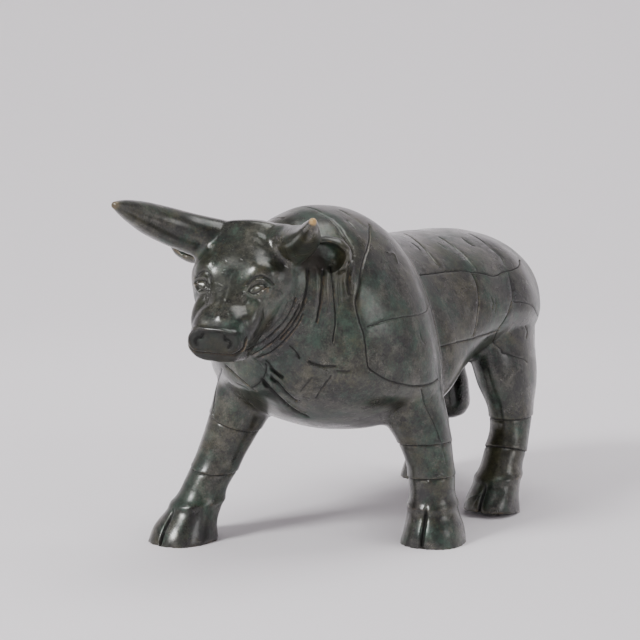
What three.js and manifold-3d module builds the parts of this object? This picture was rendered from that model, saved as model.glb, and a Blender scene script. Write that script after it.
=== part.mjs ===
// A walking bull cast in bronze, in one piece, with its head low and turned a little to its left.
// Millimetres, +Z up. The bull looks along -Y, and +X is its left side.

import * as THREE from "three";
import { mergeVertices } from "three/addons/utils/BufferGeometryUtils.js";
import Module from "manifold-3d";

const wasm = await Module();
wasm.setup();

// How finely each form is faceted: the longest step between rings, in the units of its rows'
// `at`, and the sides of each ring.
const TORSO_FACETS = { step: 14, sides: 28 };
const NECK_FACETS = { step: 1, sides: 20 };
const HEAD_FACETS = { step: 8, sides: 20 };
const LEG_FACETS = { step: 16, sides: 16 };
const HORN_FACETS = { step: 0.5, sides: 10 };
const EAR_FACETS = { step: 1, sides: 12 };
const TAIL_FACETS = { step: 1, sides: 8 };
const POUCH_FACETS = { step: 12, sides: 12 };
const BUMP_FACETS = { rings: 5, sides: 8 };

// The body, from the rump forward. Each section stands across the bull and is widest at the
// height `belt`. `crown` and `keel` say how square it is above and below that height.
const TORSO = [
  { at: 161, low: 136, belt: 147, high: 158, half: 14, crown: 2.0, keel: 2.0 },
  { at: 156, low: 116, belt: 141, high: 168, half: 34, crown: 2.0, keel: 2.0 },
  { at: 146, low: 101, belt: 136, high: 177, half: 51, crown: 2.1, keel: 2.0 },
  { at: 128, low: 92, belt: 134, high: 184, half: 63, crown: 2.1, keel: 1.9 },
  { at: 100, low: 93, belt: 136, high: 187, half: 68, crown: 2.1, keel: 1.7 },
  { at: 66, low: 88, belt: 134, high: 187, half: 67, crown: 2.1, keel: 1.65 },
  { at: 34, low: 76, belt: 124, high: 187, half: 66, crown: 2.0, keel: 1.85 },
  { at: 4, low: 68, belt: 108, high: 190, half: 67, crown: 1.9, keel: 2.2 },
  { at: -10, low: 68, belt: 102, high: 195, half: 65, crown: 1.95, keel: 2.2 },
  { at: -16, low: 68, belt: 96, high: 202, half: 69, crown: 2.0, keel: 2.0 },
  { at: -36, low: 67, belt: 100, high: 209, half: 73, crown: 1.9, keel: 1.8 },
  { at: -58, low: 71, belt: 106, high: 210, half: 70, crown: 1.85, keel: 1.7 },
  { at: -82, low: 80, belt: 112, high: 205, half: 60, crown: 1.9, keel: 1.8 },
  { at: -100, low: 92, belt: 118, high: 190, half: 45, crown: 2.0, keel: 1.9 },
  { at: -109, low: 98, belt: 120, high: 174, half: 33, crown: 2.0, keel: 2.0 },
  { at: -114, low: 102, belt: 122, high: 156, half: 18, crown: 2.0, keel: 2.0 },
];

// The head hangs from the poll along an axis that slopes down and forward.
const HEAD = {
  poll: new THREE.Vector3(0, -124, 205),
  heading: 15,
  slope: 54,
  roll: -2,
};
const SKULL = [
  { at: -5, face: -8, jaw: 18, half: 14, square: 2.0 },
  { at: 2, face: 0, jaw: 30, half: 26, square: 2.2 },
  { at: 14, face: 1, jaw: 38, half: 31, square: 2.3 },
  { at: 30, face: 3, jaw: 42, half: 32, square: 2.3 },
  { at: 46, face: 3, jaw: 41, half: 26.5, square: 2.2 },
  { at: 60, face: 3, jaw: 34, half: 20, square: 2.3 },
  { at: 74, face: 4, jaw: 27, half: 18.5, square: 2.5 },
  { at: 83, face: 4, jaw: 22, half: 18, square: 2.6 },
  { at: 88, face: 0, jaw: 15, half: 13, square: 2.4 },
];

// The neck, from inside the shoulders to the back of the skull.
const NECK = [
  { at: 0, y: -50, x: 0, z: 150, half: 54, up: 48, down: 62 },
  { at: 1, y: -80, x: 0, z: 150, half: 50, up: 50, down: 60 },
  { at: 2, y: -102, x: 0, z: 152, half: 41, up: 47, down: 48 },
  { at: 3, y: -118, x: 1, z: 158, half: 31, up: 40, down: 37 },
  { at: 4, y: -130, x: 3, z: 166, half: 24, up: 30, down: 30 },
  { at: 5, y: -135, x: 4, z: 164, half: 12, up: 12, down: 20 },
];

// Horn centre line in the head's own directions: out to its side, forward and up from the poll.
const HORN = {
  left: [
    { at: 0, out: 12, front: -8, up: -14, thick: 12 },
    { at: 1, out: 23, front: -3, up: -15, thick: 13 },
    { at: 2, out: 33, front: 5, up: -14, thick: 12.5 },
    { at: 3, out: 43, front: 18, up: -11, thick: 10 },
    { at: 4, out: 51, front: 34, up: -3, thick: 6.5 },
    { at: 5, out: 56, front: 44, up: 5, thick: 2 },
  ],
  right: [
    { at: 0, out: 12, front: -8, up: -15, thick: 12 },
    { at: 1, out: 26, front: -2, up: -14, thick: 12 },
    { at: 2, out: 40, front: 8, up: -9, thick: 10.5 },
    { at: 3, out: 52, front: 24, up: -3, thick: 8.5 },
    { at: 4, out: 58, front: 42, up: 4, thick: 5.5 },
    { at: 5, out: 61, front: 55, up: 8, thick: 2 },
  ],
};

// Ear centre line in the same directions: a leaf that opens forward, with a hollow cup.
const EAR = [
  { at: 0, out: 22, front: -16, up: -25, wide: 6, thick: 6 },
  { at: 1, out: 32, front: -18, up: -23, wide: 10, thick: 7 },
  { at: 2, out: 42, front: -20, up: -21, wide: 12, thick: 7 },
  { at: 3, out: 51, front: -21, up: -19, wide: 9.5, thick: 6 },
  { at: 4, out: 56, front: -21, up: -18, wide: 4, thick: 2.5 },
];
const EAR_CUP = [
  { at: 0, out: 30, front: -9, up: -23, wide: 2, thick: 2 },
  { at: 1, out: 36, front: -10, up: -22, wide: 6.5, thick: 7 },
  { at: 2, out: 45, front: -12, up: -20, wide: 8, thick: 8 },
  { at: 3, out: 52, front: -14, up: -19, wide: 5, thick: 5 },
  { at: 4, out: 55, front: -15, up: -18, wide: 1.5, thick: 1.5 },
];
const RIGHT_EAR_LIFT = 5;

// Legs, from the sole up: flat sections at height `at`, with the centre, half width across
// and half length along the hoof's own heading.
const LEGS = {
  foreLeft: {
    heading: 10,
    bands: [62, 41],
    rows: [
      { at: 0, x: 69, y: -24, across: 20, along: 21, square: 2.4 },
      { at: 8, x: 69, y: -23, across: 18.5, along: 20, square: 2.3 },
      { at: 20, x: 67, y: -21, across: 15.5, along: 17, square: 2.2 },
      { at: 32, x: 66, y: -20, across: 14.5, along: 16, square: 2.1 },
      { at: 46, x: 64, y: -19, across: 14.5, along: 15.5, square: 2.1 },
      { at: 62, x: 60, y: -20, across: 16.5, along: 18, square: 2.1 },
      { at: 80, x: 54, y: -23, across: 20, along: 24, square: 2.1 },
      { at: 100, x: 50, y: -27, across: 20, along: 28, square: 2.1 },
      { at: 120, x: 46, y: -30, across: 18, along: 26, square: 2.1 },
    ],
  },
  foreRight: {
    heading: -5,
    bands: [74, 44],
    rows: [
      { at: 0, x: -64, y: -107, across: 20, along: 22, square: 2.4 },
      { at: 8, x: -64, y: -105, across: 18.5, along: 20, square: 2.3 },
      { at: 20, x: -61, y: -99, across: 15.5, along: 17, square: 2.2 },
      { at: 32, x: -58, y: -93, across: 14.5, along: 16, square: 2.1 },
      { at: 46, x: -54, y: -86, across: 14.5, along: 15.5, square: 2.1 },
      { at: 62, x: -50, y: -78, across: 15.5, along: 18, square: 2.1 },
      { at: 80, x: -45, y: -69, across: 17.5, along: 23, square: 2.1 },
      { at: 100, x: -41, y: -60, across: 19, along: 28, square: 2.1 },
      { at: 120, x: -38, y: -50, across: 18, along: 26, square: 2.1 },
    ],
  },
  hindLeft: {
    heading: 5,
    bands: [61, 40],
    rows: [
      { at: 0, x: 60, y: 68, across: 18, along: 22, square: 2.4 },
      { at: 8, x: 60, y: 69, across: 17, along: 20, square: 2.3 },
      { at: 20, x: 60, y: 76, across: 15, along: 17, square: 2.2 },
      { at: 36, x: 60, y: 85, across: 14, along: 16, square: 2.1 },
      { at: 52, x: 59, y: 95, across: 13, along: 16, square: 2.1 },
      { at: 66, x: 57, y: 100, across: 14, along: 20, square: 2.1 },
      { at: 86, x: 52, y: 103, across: 18, along: 29, square: 2.1 },
      { at: 110, x: 45, y: 107, across: 20, along: 35, square: 2.1 },
      { at: 135, x: 40, y: 110, across: 22, along: 38, square: 2.1 },
    ],
  },
  hindRight: {
    heading: -5,
    bands: [61],
    rows: [
      { at: 0, x: -38, y: 151, across: 18, along: 22, square: 2.4 },
      { at: 8, x: -38, y: 152, across: 17, along: 20, square: 2.3 },
      { at: 20, x: -39, y: 155, across: 15, along: 17, square: 2.2 },
      { at: 36, x: -41, y: 158, across: 14, along: 16, square: 2.1 },
      { at: 52, x: -43, y: 159, across: 13, along: 16, square: 2.1 },
      { at: 66, x: -45, y: 150, across: 14, along: 22, square: 2.1 },
      { at: 86, x: -46, y: 136, across: 18, along: 30, square: 2.1 },
      { at: 110, x: -44, y: 122, across: 20, along: 36, square: 2.1 },
      { at: 135, x: -40, y: 112, across: 22, along: 38, square: 2.1 },
    ],
  },
};

// The scrotum, a pouch that hangs between the hind legs.
const POUCH = [
  { at: 0, x: 0, y: 117, across: 4, along: 4, square: 2 },
  { at: 3, x: 0, y: 117, across: 10, along: 10, square: 2 },
  { at: 12, x: 0, y: 117, across: 14, along: 14, square: 2 },
  { at: 24, x: 0, y: 116, across: 13, along: 13.5, square: 2 },
  { at: 38, x: 0, y: 115, across: 10, along: 12, square: 2 },
  { at: 56, x: 0, y: 114, across: 10, along: 12, square: 2 },
];
const POUCH_LOW = 52;

// The tail hangs from the top of the rump and swings to the right. It ends in a tuft.
const TAIL = [
  { at: 0, x: 0, y: 150, z: 168, thick: 7 },
  { at: 1, x: -2, y: 162, z: 160, thick: 6.5 },
  { at: 2, x: -6, y: 166, z: 144, thick: 5.5 },
  { at: 3, x: -13, y: 164, z: 126, thick: 5 },
  { at: 4, x: -22, y: 162, z: 110, thick: 6 },
  { at: 5, x: -30, y: 164, z: 94, thick: 8 },
  { at: 6, x: -34, y: 167, z: 82, thick: 3 },
];

// Forms of the face, in the head's own directions: out to the side, down the face from the
// poll and out of the face, each with its half sizes in the same order. All are paired.
const FACE_BUMPS = [
  { name: "brow", out: 14, down: 33, face: -5.5, half: [12, 10, 8] },
  { name: "eyeball", out: 18, down: 45, face: -4.5, half: [5.5, 4.2, 4.6] },
  { name: "cheekbone", out: 15, down: 60, face: -8, half: [6, 14, 7] },
  { name: "nostril rim", out: 10, down: 81.5, face: -1.5, half: [7.5, 7, 6] },
];
const CHIN = { out: 0, down: 80, face: -12, half: [11, 9, 5.5] };
const NOSTRIL = { out: 9, down: 86.5, face: 3, half: [3, 3.2, 2] };

// Each hoof is cleft in front. The cleft runs up from the sole and leans back by `lean` degrees.
const CLEFT = { width: 1.6, height: 24, depth: 7, lean: 25 };

// The left hind hoof stands on its heel, with its toe this many degrees off the ground. The
// wedge cut from under it is larger than the hoof.
const TOE_LIFT = 7;
const WEDGE_SIZE = 80;

// Cut lines that part the body into fields, as a groove of this half width and depth.
const GROOVE = { half: 0.9, depth: 1.2, spacing: 15 };
// Lines on the sides as [along, up], seen square from the side.
const SIDE_LINES = {
  shoulderFront: [[-38, 198], [-68, 180], [-84, 152], [-84, 121], [-70, 107], [-48, 102], [-22, 104]],
  shoulderCross: [[-82, 141], [-62, 144], [-20, 148]],
  barrelUpper: [[-8, 165], [32, 166], [60, 162], [86, 163], [118, 166]],
  barrelLower: [[-8, 121], [30, 122], [69, 123]],
  ribLine: [[48, 164], [44, 145], [34, 123]],
  flankLine: [[86, 162], [80, 142], [69, 124], [78, 107], [106, 92]],
  hipLine: [[80, 142], [100, 139], [124, 128]],
  neckFold: [[-96, 178], [-98, 155], [-102, 132]],
};
// Lines on the left of the back as [out, along], seen from above.
const BACK_LINES = {
  hump: [[4, -66], [22, -68], [38, -72]],
  withers: [[6, -46], [20, -46], [32, -47]],
  loin: [[6, 43], [26, 30], [44, 23]],
  ribs: [[10, 66], [34, 58], [50, 54]],
  croup: [[14, 104], [36, 95], [52, 88]],
};
// Lines on the chest as [across, up], seen from in front.
const CHEST_LINES = {
  brisket: [[5, 122], [9, 108], [17, 97]],
  brisketTwin: [[12, 118], [18, 106], [24, 98]],
  armpit: [[-30, 116], [-16, 108], [2, 102]],
};
// The mouth is a line round the muzzle, as far as `reach` degrees about a point inside it.
const MOUTH = { down: 71, face: -4.5, reach: 150, samples: 9 };
// The right side is plainer: it carries these lines alone.
const RIGHT_LINES = ["shoulderFront", "shoulderCross", "barrelUpper", "barrelLower"];
// Lines on the chest are followed from this far along inside it, lines on the back from this
// height.
const CHEST_INSIDE = -60;
const MID_HEIGHT = 130;

const BRONZE = { color: 0x2c3430, roughness: 0.38, metalness: 0.85 };

const UP = new THREE.Vector3(0, 0, 1);
const turn = (degrees) => THREE.MathUtils.degToRad(degrees);

/** Slopes for a curve through the values that never overshoots them. */
function calmSlopes(at, value) {
  const step = at.slice(1).map((t, i) => t - at[i]);
  const rise = step.map((h, i) => (value[i + 1] - value[i]) / h);
  return at.map((_, i) => {
    if (i === 0) return rise[0];
    if (i === at.length - 1) return rise[i - 1];
    if (rise[i - 1] * rise[i] <= 0) return 0;
    const before = 2 * step[i] + step[i - 1];
    const after = step[i] + 2 * step[i - 1];
    return (before + after) / (before / rise[i - 1] + after / rise[i]);
  });
}

/** The row at one place: every named value runs on a calm cubic curve through the rows. */
function rowAt(rows, place) {
  const at = rows.map((row) => row.at);
  const rising = at[at.length - 1] > at[0] ? 1 : -1;
  const after = at.findIndex((t, i) => i > 0 && rising * (t - place) >= 0);
  const i = (after < 0 ? at.length - 1 : after) - 1;
  const span = at[i + 1] - at[i];
  const t = (place - at[i]) / span;
  const row = {};
  for (const key of Object.keys(rows[0])) {
    const values = rows.map((one) => one[key]);
    const slopes = calmSlopes(at, values);
    row[key] =
      (2 * t ** 3 - 3 * t ** 2 + 1) * values[i] +
      (t ** 3 - 2 * t ** 2 + t) * slopes[i] * span +
      (3 * t ** 2 - 2 * t ** 3) * values[i + 1] +
      (t ** 3 - t ** 2) * slopes[i + 1] * span;
  }
  return row;
}

/** Rows no further apart than `step`, between and through the given ones. */
function refined(rows, step) {
  const out = [];
  for (let i = 0; i + 1 < rows.length; i++) {
    const span = rows[i + 1].at - rows[i].at;
    const parts = Math.ceil(Math.abs(span) / step);
    for (let k = 0; k < parts; k++) out.push(rowAt(rows, rows[i].at + (span * k) / parts));
  }
  out.push(rows[rows.length - 1]);
  return out;
}

/** The rows with a notch all round at each of the given heights. */
function notched(rows, heights, step) {
  const kept = refined(rows, step).filter((row) =>
    heights.every((height) => Math.abs(row.at - height) > 2 * GROOVE.half),
  );
  for (const height of heights) {
    const deep = rowAt(rows, height);
    kept.push(rowAt(rows, height - GROOVE.half), rowAt(rows, height + GROOVE.half));
    kept.push({ ...deep, across: deep.across - GROOVE.depth, along: deep.along - GROOVE.depth });
  }
  return kept.sort((one, two) => one.at - two.at);
}

/** One closed skin over rings of equally many points, with a centre point at each end. */
function skin(rings) {
  const sides = rings[0].length;
  const middle = (ring) =>
    ring.reduce((sum, p) => sum.add(p), new THREE.Vector3()).divideScalar(sides);
  const points = [...rings.flat(), middle(rings[0]), middle(rings[rings.length - 1])];
  const [first, last] = [points.length - 2, points.length - 1];
  const faces = [];
  for (let i = 0; i < rings.length; i++) {
    for (let j = 0; j < sides; j++) {
      const a = i * sides + j;
      const b = i * sides + ((j + 1) % sides);
      if (i === 0) faces.push(first, b, a);
      if (i === rings.length - 1) faces.push(last, a, b);
      else faces.push(a, b, b + sides, a, b + sides, a + sides);
    }
  }
  const geometry = new THREE.BufferGeometry().setFromPoints(points);
  geometry.setIndex(faces);
  return geometry;
}

/**
 * A rounded ring about `centre`: `half` along `side`, then its reach along `rise` and against
 * it, each half with its own squareness.
 */
function ring(centre, side, rise, shape, sides) {
  const { half, up, down, crown = 2.1, keel = crown } = shape;
  return Array.from({ length: sides }, (_, j) => {
    const angle = (2 * Math.PI * j) / sides;
    const [c, s] = [Math.cos(angle), Math.sin(angle)];
    const power = 2 / (s > 0 ? crown : keel);
    const across = Math.sign(c) * Math.abs(c) ** power * half;
    const along = Math.sign(s) * Math.abs(s) ** power * (s > 0 ? up : down);
    return centre.clone().addScaledVector(side, across).addScaledVector(rise, along);
  });
}

/** A manifold solid from a closed geometry, turned outward if it came inside out. */
function solid(geometry) {
  geometry.deleteAttribute("normal");
  geometry.deleteAttribute("uv");
  const merged = mergeVertices(geometry, 1e-4);
  const triVerts = new Uint32Array(merged.index.array);
  const vertProperties = new Float32Array(merged.attributes.position.array);
  const made = new wasm.Manifold(new wasm.Mesh({ numProp: 3, vertProperties, triVerts }));
  if (made.volume() > 0) return made;
  for (let i = 0; i < triVerts.length; i += 3) {
    [triVerts[i + 1], triVerts[i + 2]] = [triVerts[i + 2], triVerts[i + 1]];
  }
  return new wasm.Manifold(new wasm.Mesh({ numProp: 3, vertProperties, triVerts }));
}

const LEFT = new THREE.Vector3(1, 0, 0);

function torso() {
  return solid(
    skin(
      refined(TORSO, TORSO_FACETS.step).map(({ at, low, belt, high, half, crown, keel }) => {
        const shape = { half, up: high - belt, down: belt - low, crown, keel };
        return ring(new THREE.Vector3(0, at, belt), LEFT, UP, shape, TORSO_FACETS.sides);
      }),
    ),
  );
}

/** The head's own directions: left, level forward, up, down its face, and out of its forehead. */
function headFrame() {
  const heading = turn(HEAD.heading);
  const slope = turn(HEAD.slope);
  const forward = new THREE.Vector3(Math.sin(heading), -Math.cos(heading), 0);
  const level = new THREE.Vector3(Math.cos(heading), Math.sin(heading), 0);
  const left = level.clone().applyAxisAngle(forward, turn(HEAD.roll));
  const up = new THREE.Vector3().crossVectors(left, forward).negate();
  const down = forward.clone().multiplyScalar(Math.cos(slope)).addScaledVector(up, -Math.sin(slope));
  const face = forward.clone().multiplyScalar(Math.sin(slope)).addScaledVector(up, Math.cos(slope));
  return { forward, left, up, down, face };
}

function skull() {
  const { left, down, face } = headFrame();
  return solid(
    skin(
      refined(SKULL, HEAD_FACETS.step).map((row) => {
        const reach = (row.face + row.jaw) / 2;
        const centre = HEAD.poll
          .clone()
          .addScaledVector(down, row.at)
          .addScaledVector(face, (row.face - row.jaw) / 2);
        const shape = { half: row.half, up: reach, down: reach, crown: row.square };
        return ring(centre, left, face, shape, HEAD_FACETS.sides);
      }),
    ),
  );
}

function neck() {
  return solid(
    skin(
      refined(NECK, NECK_FACETS.step).map((row) =>
        ring(new THREE.Vector3(row.x, row.y, row.z), LEFT, UP, row, NECK_FACETS.sides),
      ),
    ),
  );
}

/** A point given out to one side (+1 left, -1 right), forward and up from the poll. */
function fromPoll(row, side) {
  const { left, forward, up } = headFrame();
  return HEAD.poll
    .clone()
    .addScaledVector(left, row.out * side)
    .addScaledVector(forward, row.front)
    .addScaledVector(up, row.up);
}

/** A solid rod along a centre line. Its rings keep square to `level` and to the line. */
function rod(rows, facets, place, size, level = UP) {
  const fine = refined(rows, facets.step);
  const centres = fine.map(place);
  const rings = fine.map((row, i) => {
    const before = centres[Math.max(i - 1, 0)];
    const after = centres[Math.min(i + 1, fine.length - 1)];
    const ahead = after.clone().sub(before).normalize();
    const across = new THREE.Vector3().crossVectors(level, ahead).normalize();
    const rise = new THREE.Vector3().crossVectors(ahead, across);
    const [half, reach] = size(row);
    return ring(centres[i], across, rise, { half, up: reach, down: reach, crown: 2 }, facets.sides);
  });
  return solid(skin(rings));
}

const even = (row) => [row.thick, row.thick];
const flat = (row) => [row.thick, row.wide];

function horn(rows, side) {
  return rod(rows, HORN_FACETS, (row) => fromPoll(row, side), even);
}

function ear(rows, side) {
  const lift = side < 0 ? RIGHT_EAR_LIFT : 0;
  return rod(rows, EAR_FACETS, (row) => fromPoll({ ...row, up: row.up + lift }, side), flat);
}

function tail() {
  return rod(TAIL, TAIL_FACETS, (row) => new THREE.Vector3(row.x, row.y, row.z), even, LEFT);
}

/** A solid of level sections, for the legs and what hangs. */
function stack(rows, heading, sides, low = 0) {
  const angle = turn(heading);
  const forward = new THREE.Vector3(Math.sin(angle), -Math.cos(angle), 0);
  const left = new THREE.Vector3(Math.cos(angle), Math.sin(angle), 0);
  const rings = rows.map(({ at, x, y, across, along, square }) => {
    const shape = { half: across, up: along, down: along, crown: square };
    return ring(new THREE.Vector3(x, y, at + low), left, forward, shape, sides);
  });
  return solid(skin(rings));
}

function leg({ heading, rows, bands }) {
  return stack(notched(rows, bands, LEG_FACETS.step), heading, LEG_FACETS.sides);
}

function pouch() {
  return stack(refined(POUCH, POUCH_FACETS.step), 0, POUCH_FACETS.sides, POUCH_LOW);
}

/** A point in the head's own directions: out to a side, down the face, and out of the face. */
function onHead({ out, down, face }, side) {
  const frame = headFrame();
  return HEAD.poll
    .clone()
    .addScaledVector(frame.left, out * side)
    .addScaledVector(frame.down, down)
    .addScaledVector(frame.face, face);
}

/** An egg set in the head's own directions. */
function bump(row, side) {
  const { left, down, face } = headFrame();
  const shape = new THREE.SphereGeometry(1, BUMP_FACETS.sides, BUMP_FACETS.rings);
  shape.scale(...row.half);
  shape.applyMatrix4(new THREE.Matrix4().makeBasis(left, down, face));
  const { x, y, z } = onHead(row, side);
  return solid(shape.translate(x, y, z));
}

/** A thin blade at the toe of a leg, which cuts its cleft. */
function cleft({ heading, rows }) {
  const [sole] = rows;
  const angle = turn(heading);
  const ahead = sole.along + CLEFT.depth / 2;
  const blade = new THREE.BoxGeometry(CLEFT.width, 3 * CLEFT.depth, 2 * CLEFT.height);
  blade.rotateX(turn(CLEFT.lean)).rotateZ(angle);
  return solid(
    blade.translate(sole.x + Math.sin(angle) * ahead, sole.y - Math.cos(angle) * ahead, 0),
  );
}

/** The ground under the toe of the left hind hoof, as a wedge to cut away. */
function underToe({ heading, rows }) {
  const [sole] = rows;
  const angle = turn(heading);
  const heel = sole.along / 2;
  const wedge = new THREE.BoxGeometry(WEDGE_SIZE, WEDGE_SIZE, WEDGE_SIZE);
  wedge.translate(0, -WEDGE_SIZE / 2, -WEDGE_SIZE / 2);
  wedge.rotateX(turn(-TOE_LIFT)).rotateZ(angle);
  return solid(
    wedge.translate(sole.x - Math.sin(angle) * heel, sole.y + Math.cos(angle) * heel, 0),
  );
}

/** The skin of a solid, asked from inside: where a ray leaves it, and which way it faces there. */
function skinOf(whole) {
  const bothSides = new THREE.MeshBasicMaterial({ side: THREE.DoubleSide });
  const mesh = new THREE.Mesh(geometryOf(whole), bothSides);
  const caster = new THREE.Raycaster();
  return (from, direction) => {
    caster.set(from, direction.clone().normalize());
    const [hit] = caster.intersectObject(mesh);
    const normal = hit.face.normal.clone();
    return { point: hit.point, normal: normal.dot(direction) < 0 ? normal.negate() : normal };
  };
}

/** A groove cutter along points on the skin: a triangle with its edge inward, carried along. */
function groove(hits) {
  const rings = hits.map(({ point, normal }, i) => {
    const before = hits[Math.max(i - 1, 0)].point;
    const after = hits[Math.min(i + 1, hits.length - 1)].point;
    const across = new THREE.Vector3().crossVectors(after.clone().sub(before), normal).normalize();
    const top = point.clone().addScaledVector(normal, GROOVE.half);
    return [
      top.clone().addScaledVector(across, 2 * GROOVE.half),
      top.clone().addScaledVector(across, -2 * GROOVE.half),
      point.clone().addScaledVector(normal, -GROOVE.depth),
    ];
  });
  return solid(skin(rings));
}

/** Points spaced evenly on a smooth line through the flat points given. */
function spaced(line) {
  const curve = new THREE.CatmullRomCurve3(line.map(([a, b]) => new THREE.Vector3(a, b, 0)));
  return curve.getSpacedPoints(Math.max(2, Math.round(curve.getLength() / GROOVE.spacing)));
}

/** The mouth line, as points on the skin. */
function lips(leaves) {
  const { left, down } = headFrame();
  const inside = onHead({ out: 0, ...MOUTH }, 1);
  return Array.from({ length: MOUTH.samples }, (_, i) => {
    const angle = turn(-MOUTH.reach / 2 + (MOUTH.reach * i) / (MOUTH.samples - 1));
    const way = down.clone().multiplyScalar(Math.cos(angle)).addScaledVector(left, Math.sin(angle));
    return leaves(inside, way);
  });
}

/** All the groove cutters, joined. */
function cutLines(whole) {
  const leaves = skinOf(whole);
  const ahead = new THREE.Vector3(0, -1, 0);
  const cut = (line, from, way) => groove(spaced(line).map((p) => leaves(from(p), way)));
  const cutters = [groove(lips(leaves))];
  for (const side of [1, -1]) {
    const out = new THREE.Vector3(side, 0, 0);
    for (const [name, line] of Object.entries(SIDE_LINES)) {
      if (side < 0 && !RIGHT_LINES.includes(name)) continue;
      cutters.push(cut(line, (p) => new THREE.Vector3(0, p.x, p.y), out));
    }
  }
  for (const line of Object.values(BACK_LINES)) {
    cutters.push(cut(line, (p) => new THREE.Vector3(p.x, p.y, MID_HEIGHT), UP));
  }
  for (const line of Object.values(CHEST_LINES)) {
    cutters.push(cut(line, (p) => new THREE.Vector3(p.x, CHEST_INSIDE, p.y), ahead));
  }
  return cutters.reduce((sum, one) => sum.add(one));
}

function bull() {
  let whole = torso().add(neck()).add(skull()).add(tail()).add(pouch()).add(bump(CHIN, 1));
  whole = whole.add(horn(HORN.left, 1)).add(horn(HORN.right, -1));
  for (const side of [1, -1]) {
    for (const row of FACE_BUMPS) whole = whole.add(bump(row, side));
    whole = whole.add(ear(EAR, side)).subtract(ear(EAR_CUP, side)).subtract(bump(NOSTRIL, side));
  }
  for (const one of Object.values(LEGS)) {
    whole = whole.add(leg(one)).subtract(cleft(one));
  }
  whole = whole.subtract(underToe(LEGS.hindLeft));
  return centred(withoutChips(whole.subtract(cutLines(whole))));
}

/** The solid without the loose chips, under a cubic millimetre, that crossing grooves leave. */
function withoutChips(whole) {
  const [largest] = whole.decompose().sort((one, two) => two.volume() - one.volume());
  return largest;
}

/** The solid moved level, so that the middle of its outline from above is at the origin. */
function centred(whole) {
  const { min, max } = whole.boundingBox();
  return whole.translate([-(min[0] + max[0]) / 2, -(min[1] + max[1]) / 2, 0]);
}

/** A geometry from a manifold solid, flat shaded. */
function geometryOf(made) {
  const mesh = made.getMesh();
  const geometry = new THREE.BufferGeometry();
  geometry.setAttribute("position", new THREE.BufferAttribute(mesh.vertProperties, 3));
  geometry.setIndex(new THREE.BufferAttribute(mesh.triVerts, 1));
  return geometry;
}

const part = new THREE.Group();
const body = new THREE.Mesh(geometryOf(bull()), new THREE.MeshStandardMaterial(BRONZE));
body.name = "bull";
part.add(body);

export default part;
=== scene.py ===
"""A walking bull, cast in bronze in one piece and patinated green-black.

Sizes are in millimetres in the part's own directions: the bull looks along -Y, +X is its left
side and +Z is up. The finished mesh is moved level by the same shift as the CAD part and turned
into metres. The skin is made in this order:

1. Lofts of rounded rings for the body, neck, skull, legs, horns, ears, tail and scrotum.
2. One joined skin over all of them, relaxed where they meet, as wax is smoothed before casting.
3. Swells and hollows, then the cut lines, lids, nostrils and mouth, pressed into a fine skin.
4. A thinned mesh that carries its own masks for wear, a painted highlight, grooves and hollows.
"""

from __future__ import annotations

import logging
import math
from dataclasses import dataclass, field
from enum import Enum

import bpy
import numpy as np
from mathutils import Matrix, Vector
from mathutils.bvhtree import BVHTree


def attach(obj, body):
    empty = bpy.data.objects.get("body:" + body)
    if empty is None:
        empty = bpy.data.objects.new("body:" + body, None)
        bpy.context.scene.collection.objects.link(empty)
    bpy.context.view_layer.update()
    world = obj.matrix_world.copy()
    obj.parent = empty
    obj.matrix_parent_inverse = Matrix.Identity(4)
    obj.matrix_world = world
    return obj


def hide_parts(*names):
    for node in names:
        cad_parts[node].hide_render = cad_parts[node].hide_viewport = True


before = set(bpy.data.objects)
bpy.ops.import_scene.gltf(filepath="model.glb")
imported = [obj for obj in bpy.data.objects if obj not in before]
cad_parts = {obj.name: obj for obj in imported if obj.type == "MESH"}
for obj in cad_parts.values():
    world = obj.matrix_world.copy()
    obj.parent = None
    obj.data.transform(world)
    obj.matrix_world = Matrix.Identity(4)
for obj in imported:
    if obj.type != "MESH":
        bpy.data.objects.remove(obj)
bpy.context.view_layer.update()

log = logging.getLogger("bull")
Array = np.ndarray
METRES = 0.001


def calm(at: Array, values: Array, places: Array) -> Array:
    """Carry rows of values between their places on a curve that never overshoots them.

    Between two rows the curve is a cubic. Its slope at a row is the weighted harmonic mean of
    the slopes on either side, or nought where those differ in sign.

    Args:
        at: the rows' places, rising.
        values: one row of values for each place.
        places: where to read the curve.

    Returns:
        One row of values for each of the places read.
    """
    step = np.diff(at)[:, None]
    rise = np.diff(values, axis=0) / step
    before = 2 * step[1:] + step[:-1]
    after = step[1:] + 2 * step[:-1]
    product = rise[:-1] * rise[1:]
    steady = product > 0
    under = np.where(steady, before * rise[1:] + after * rise[:-1], 1)
    middle = np.where(steady, (before + after) * product / under, 0)
    slope = np.concatenate([rise[:1], middle, rise[-1:]])
    index = np.clip(np.searchsorted(at, places, side="right") - 1, 0, len(at) - 2)
    span = (at[index + 1] - at[index])[:, None]
    t = (places - at[index])[:, None] / span
    return (
        (2 * t**3 - 3 * t**2 + 1) * values[index]
        + (t**3 - 2 * t**2 + t) * slope[index] * span
        + (3 * t**2 - 2 * t**3) * values[index + 1]
        + (t**3 - t**2) * slope[index + 1] * span
    )


def smoothstep(low: float, high: float, value: Array) -> Array:
    """Rise smoothly from 0 at `low` to 1 at `high`."""
    t = np.clip((value - low) / (high - low), 0, 1)
    return t * t * (3 - 2 * t)


@dataclass(frozen=True)
class Rows:
    """A table of named sizes that changes along its first column."""

    names: str
    values: tuple[tuple[float, ...], ...]

    def read(self, step: float) -> dict[str, Array]:
        """Read every column at even steps of the first.

        Args:
            step: the longest step, in the first column's own units.

        Returns:
            The columns by name, all equally long.
        """
        table = np.array(sorted(self.values), float)
        low, high = table[0, 0], table[-1, 0]
        places = np.linspace(low, high, max(3, math.ceil((high - low) / step) + 1))
        return dict(zip(self.names.split(), calm(table[:, 0], table, places).T))


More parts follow.
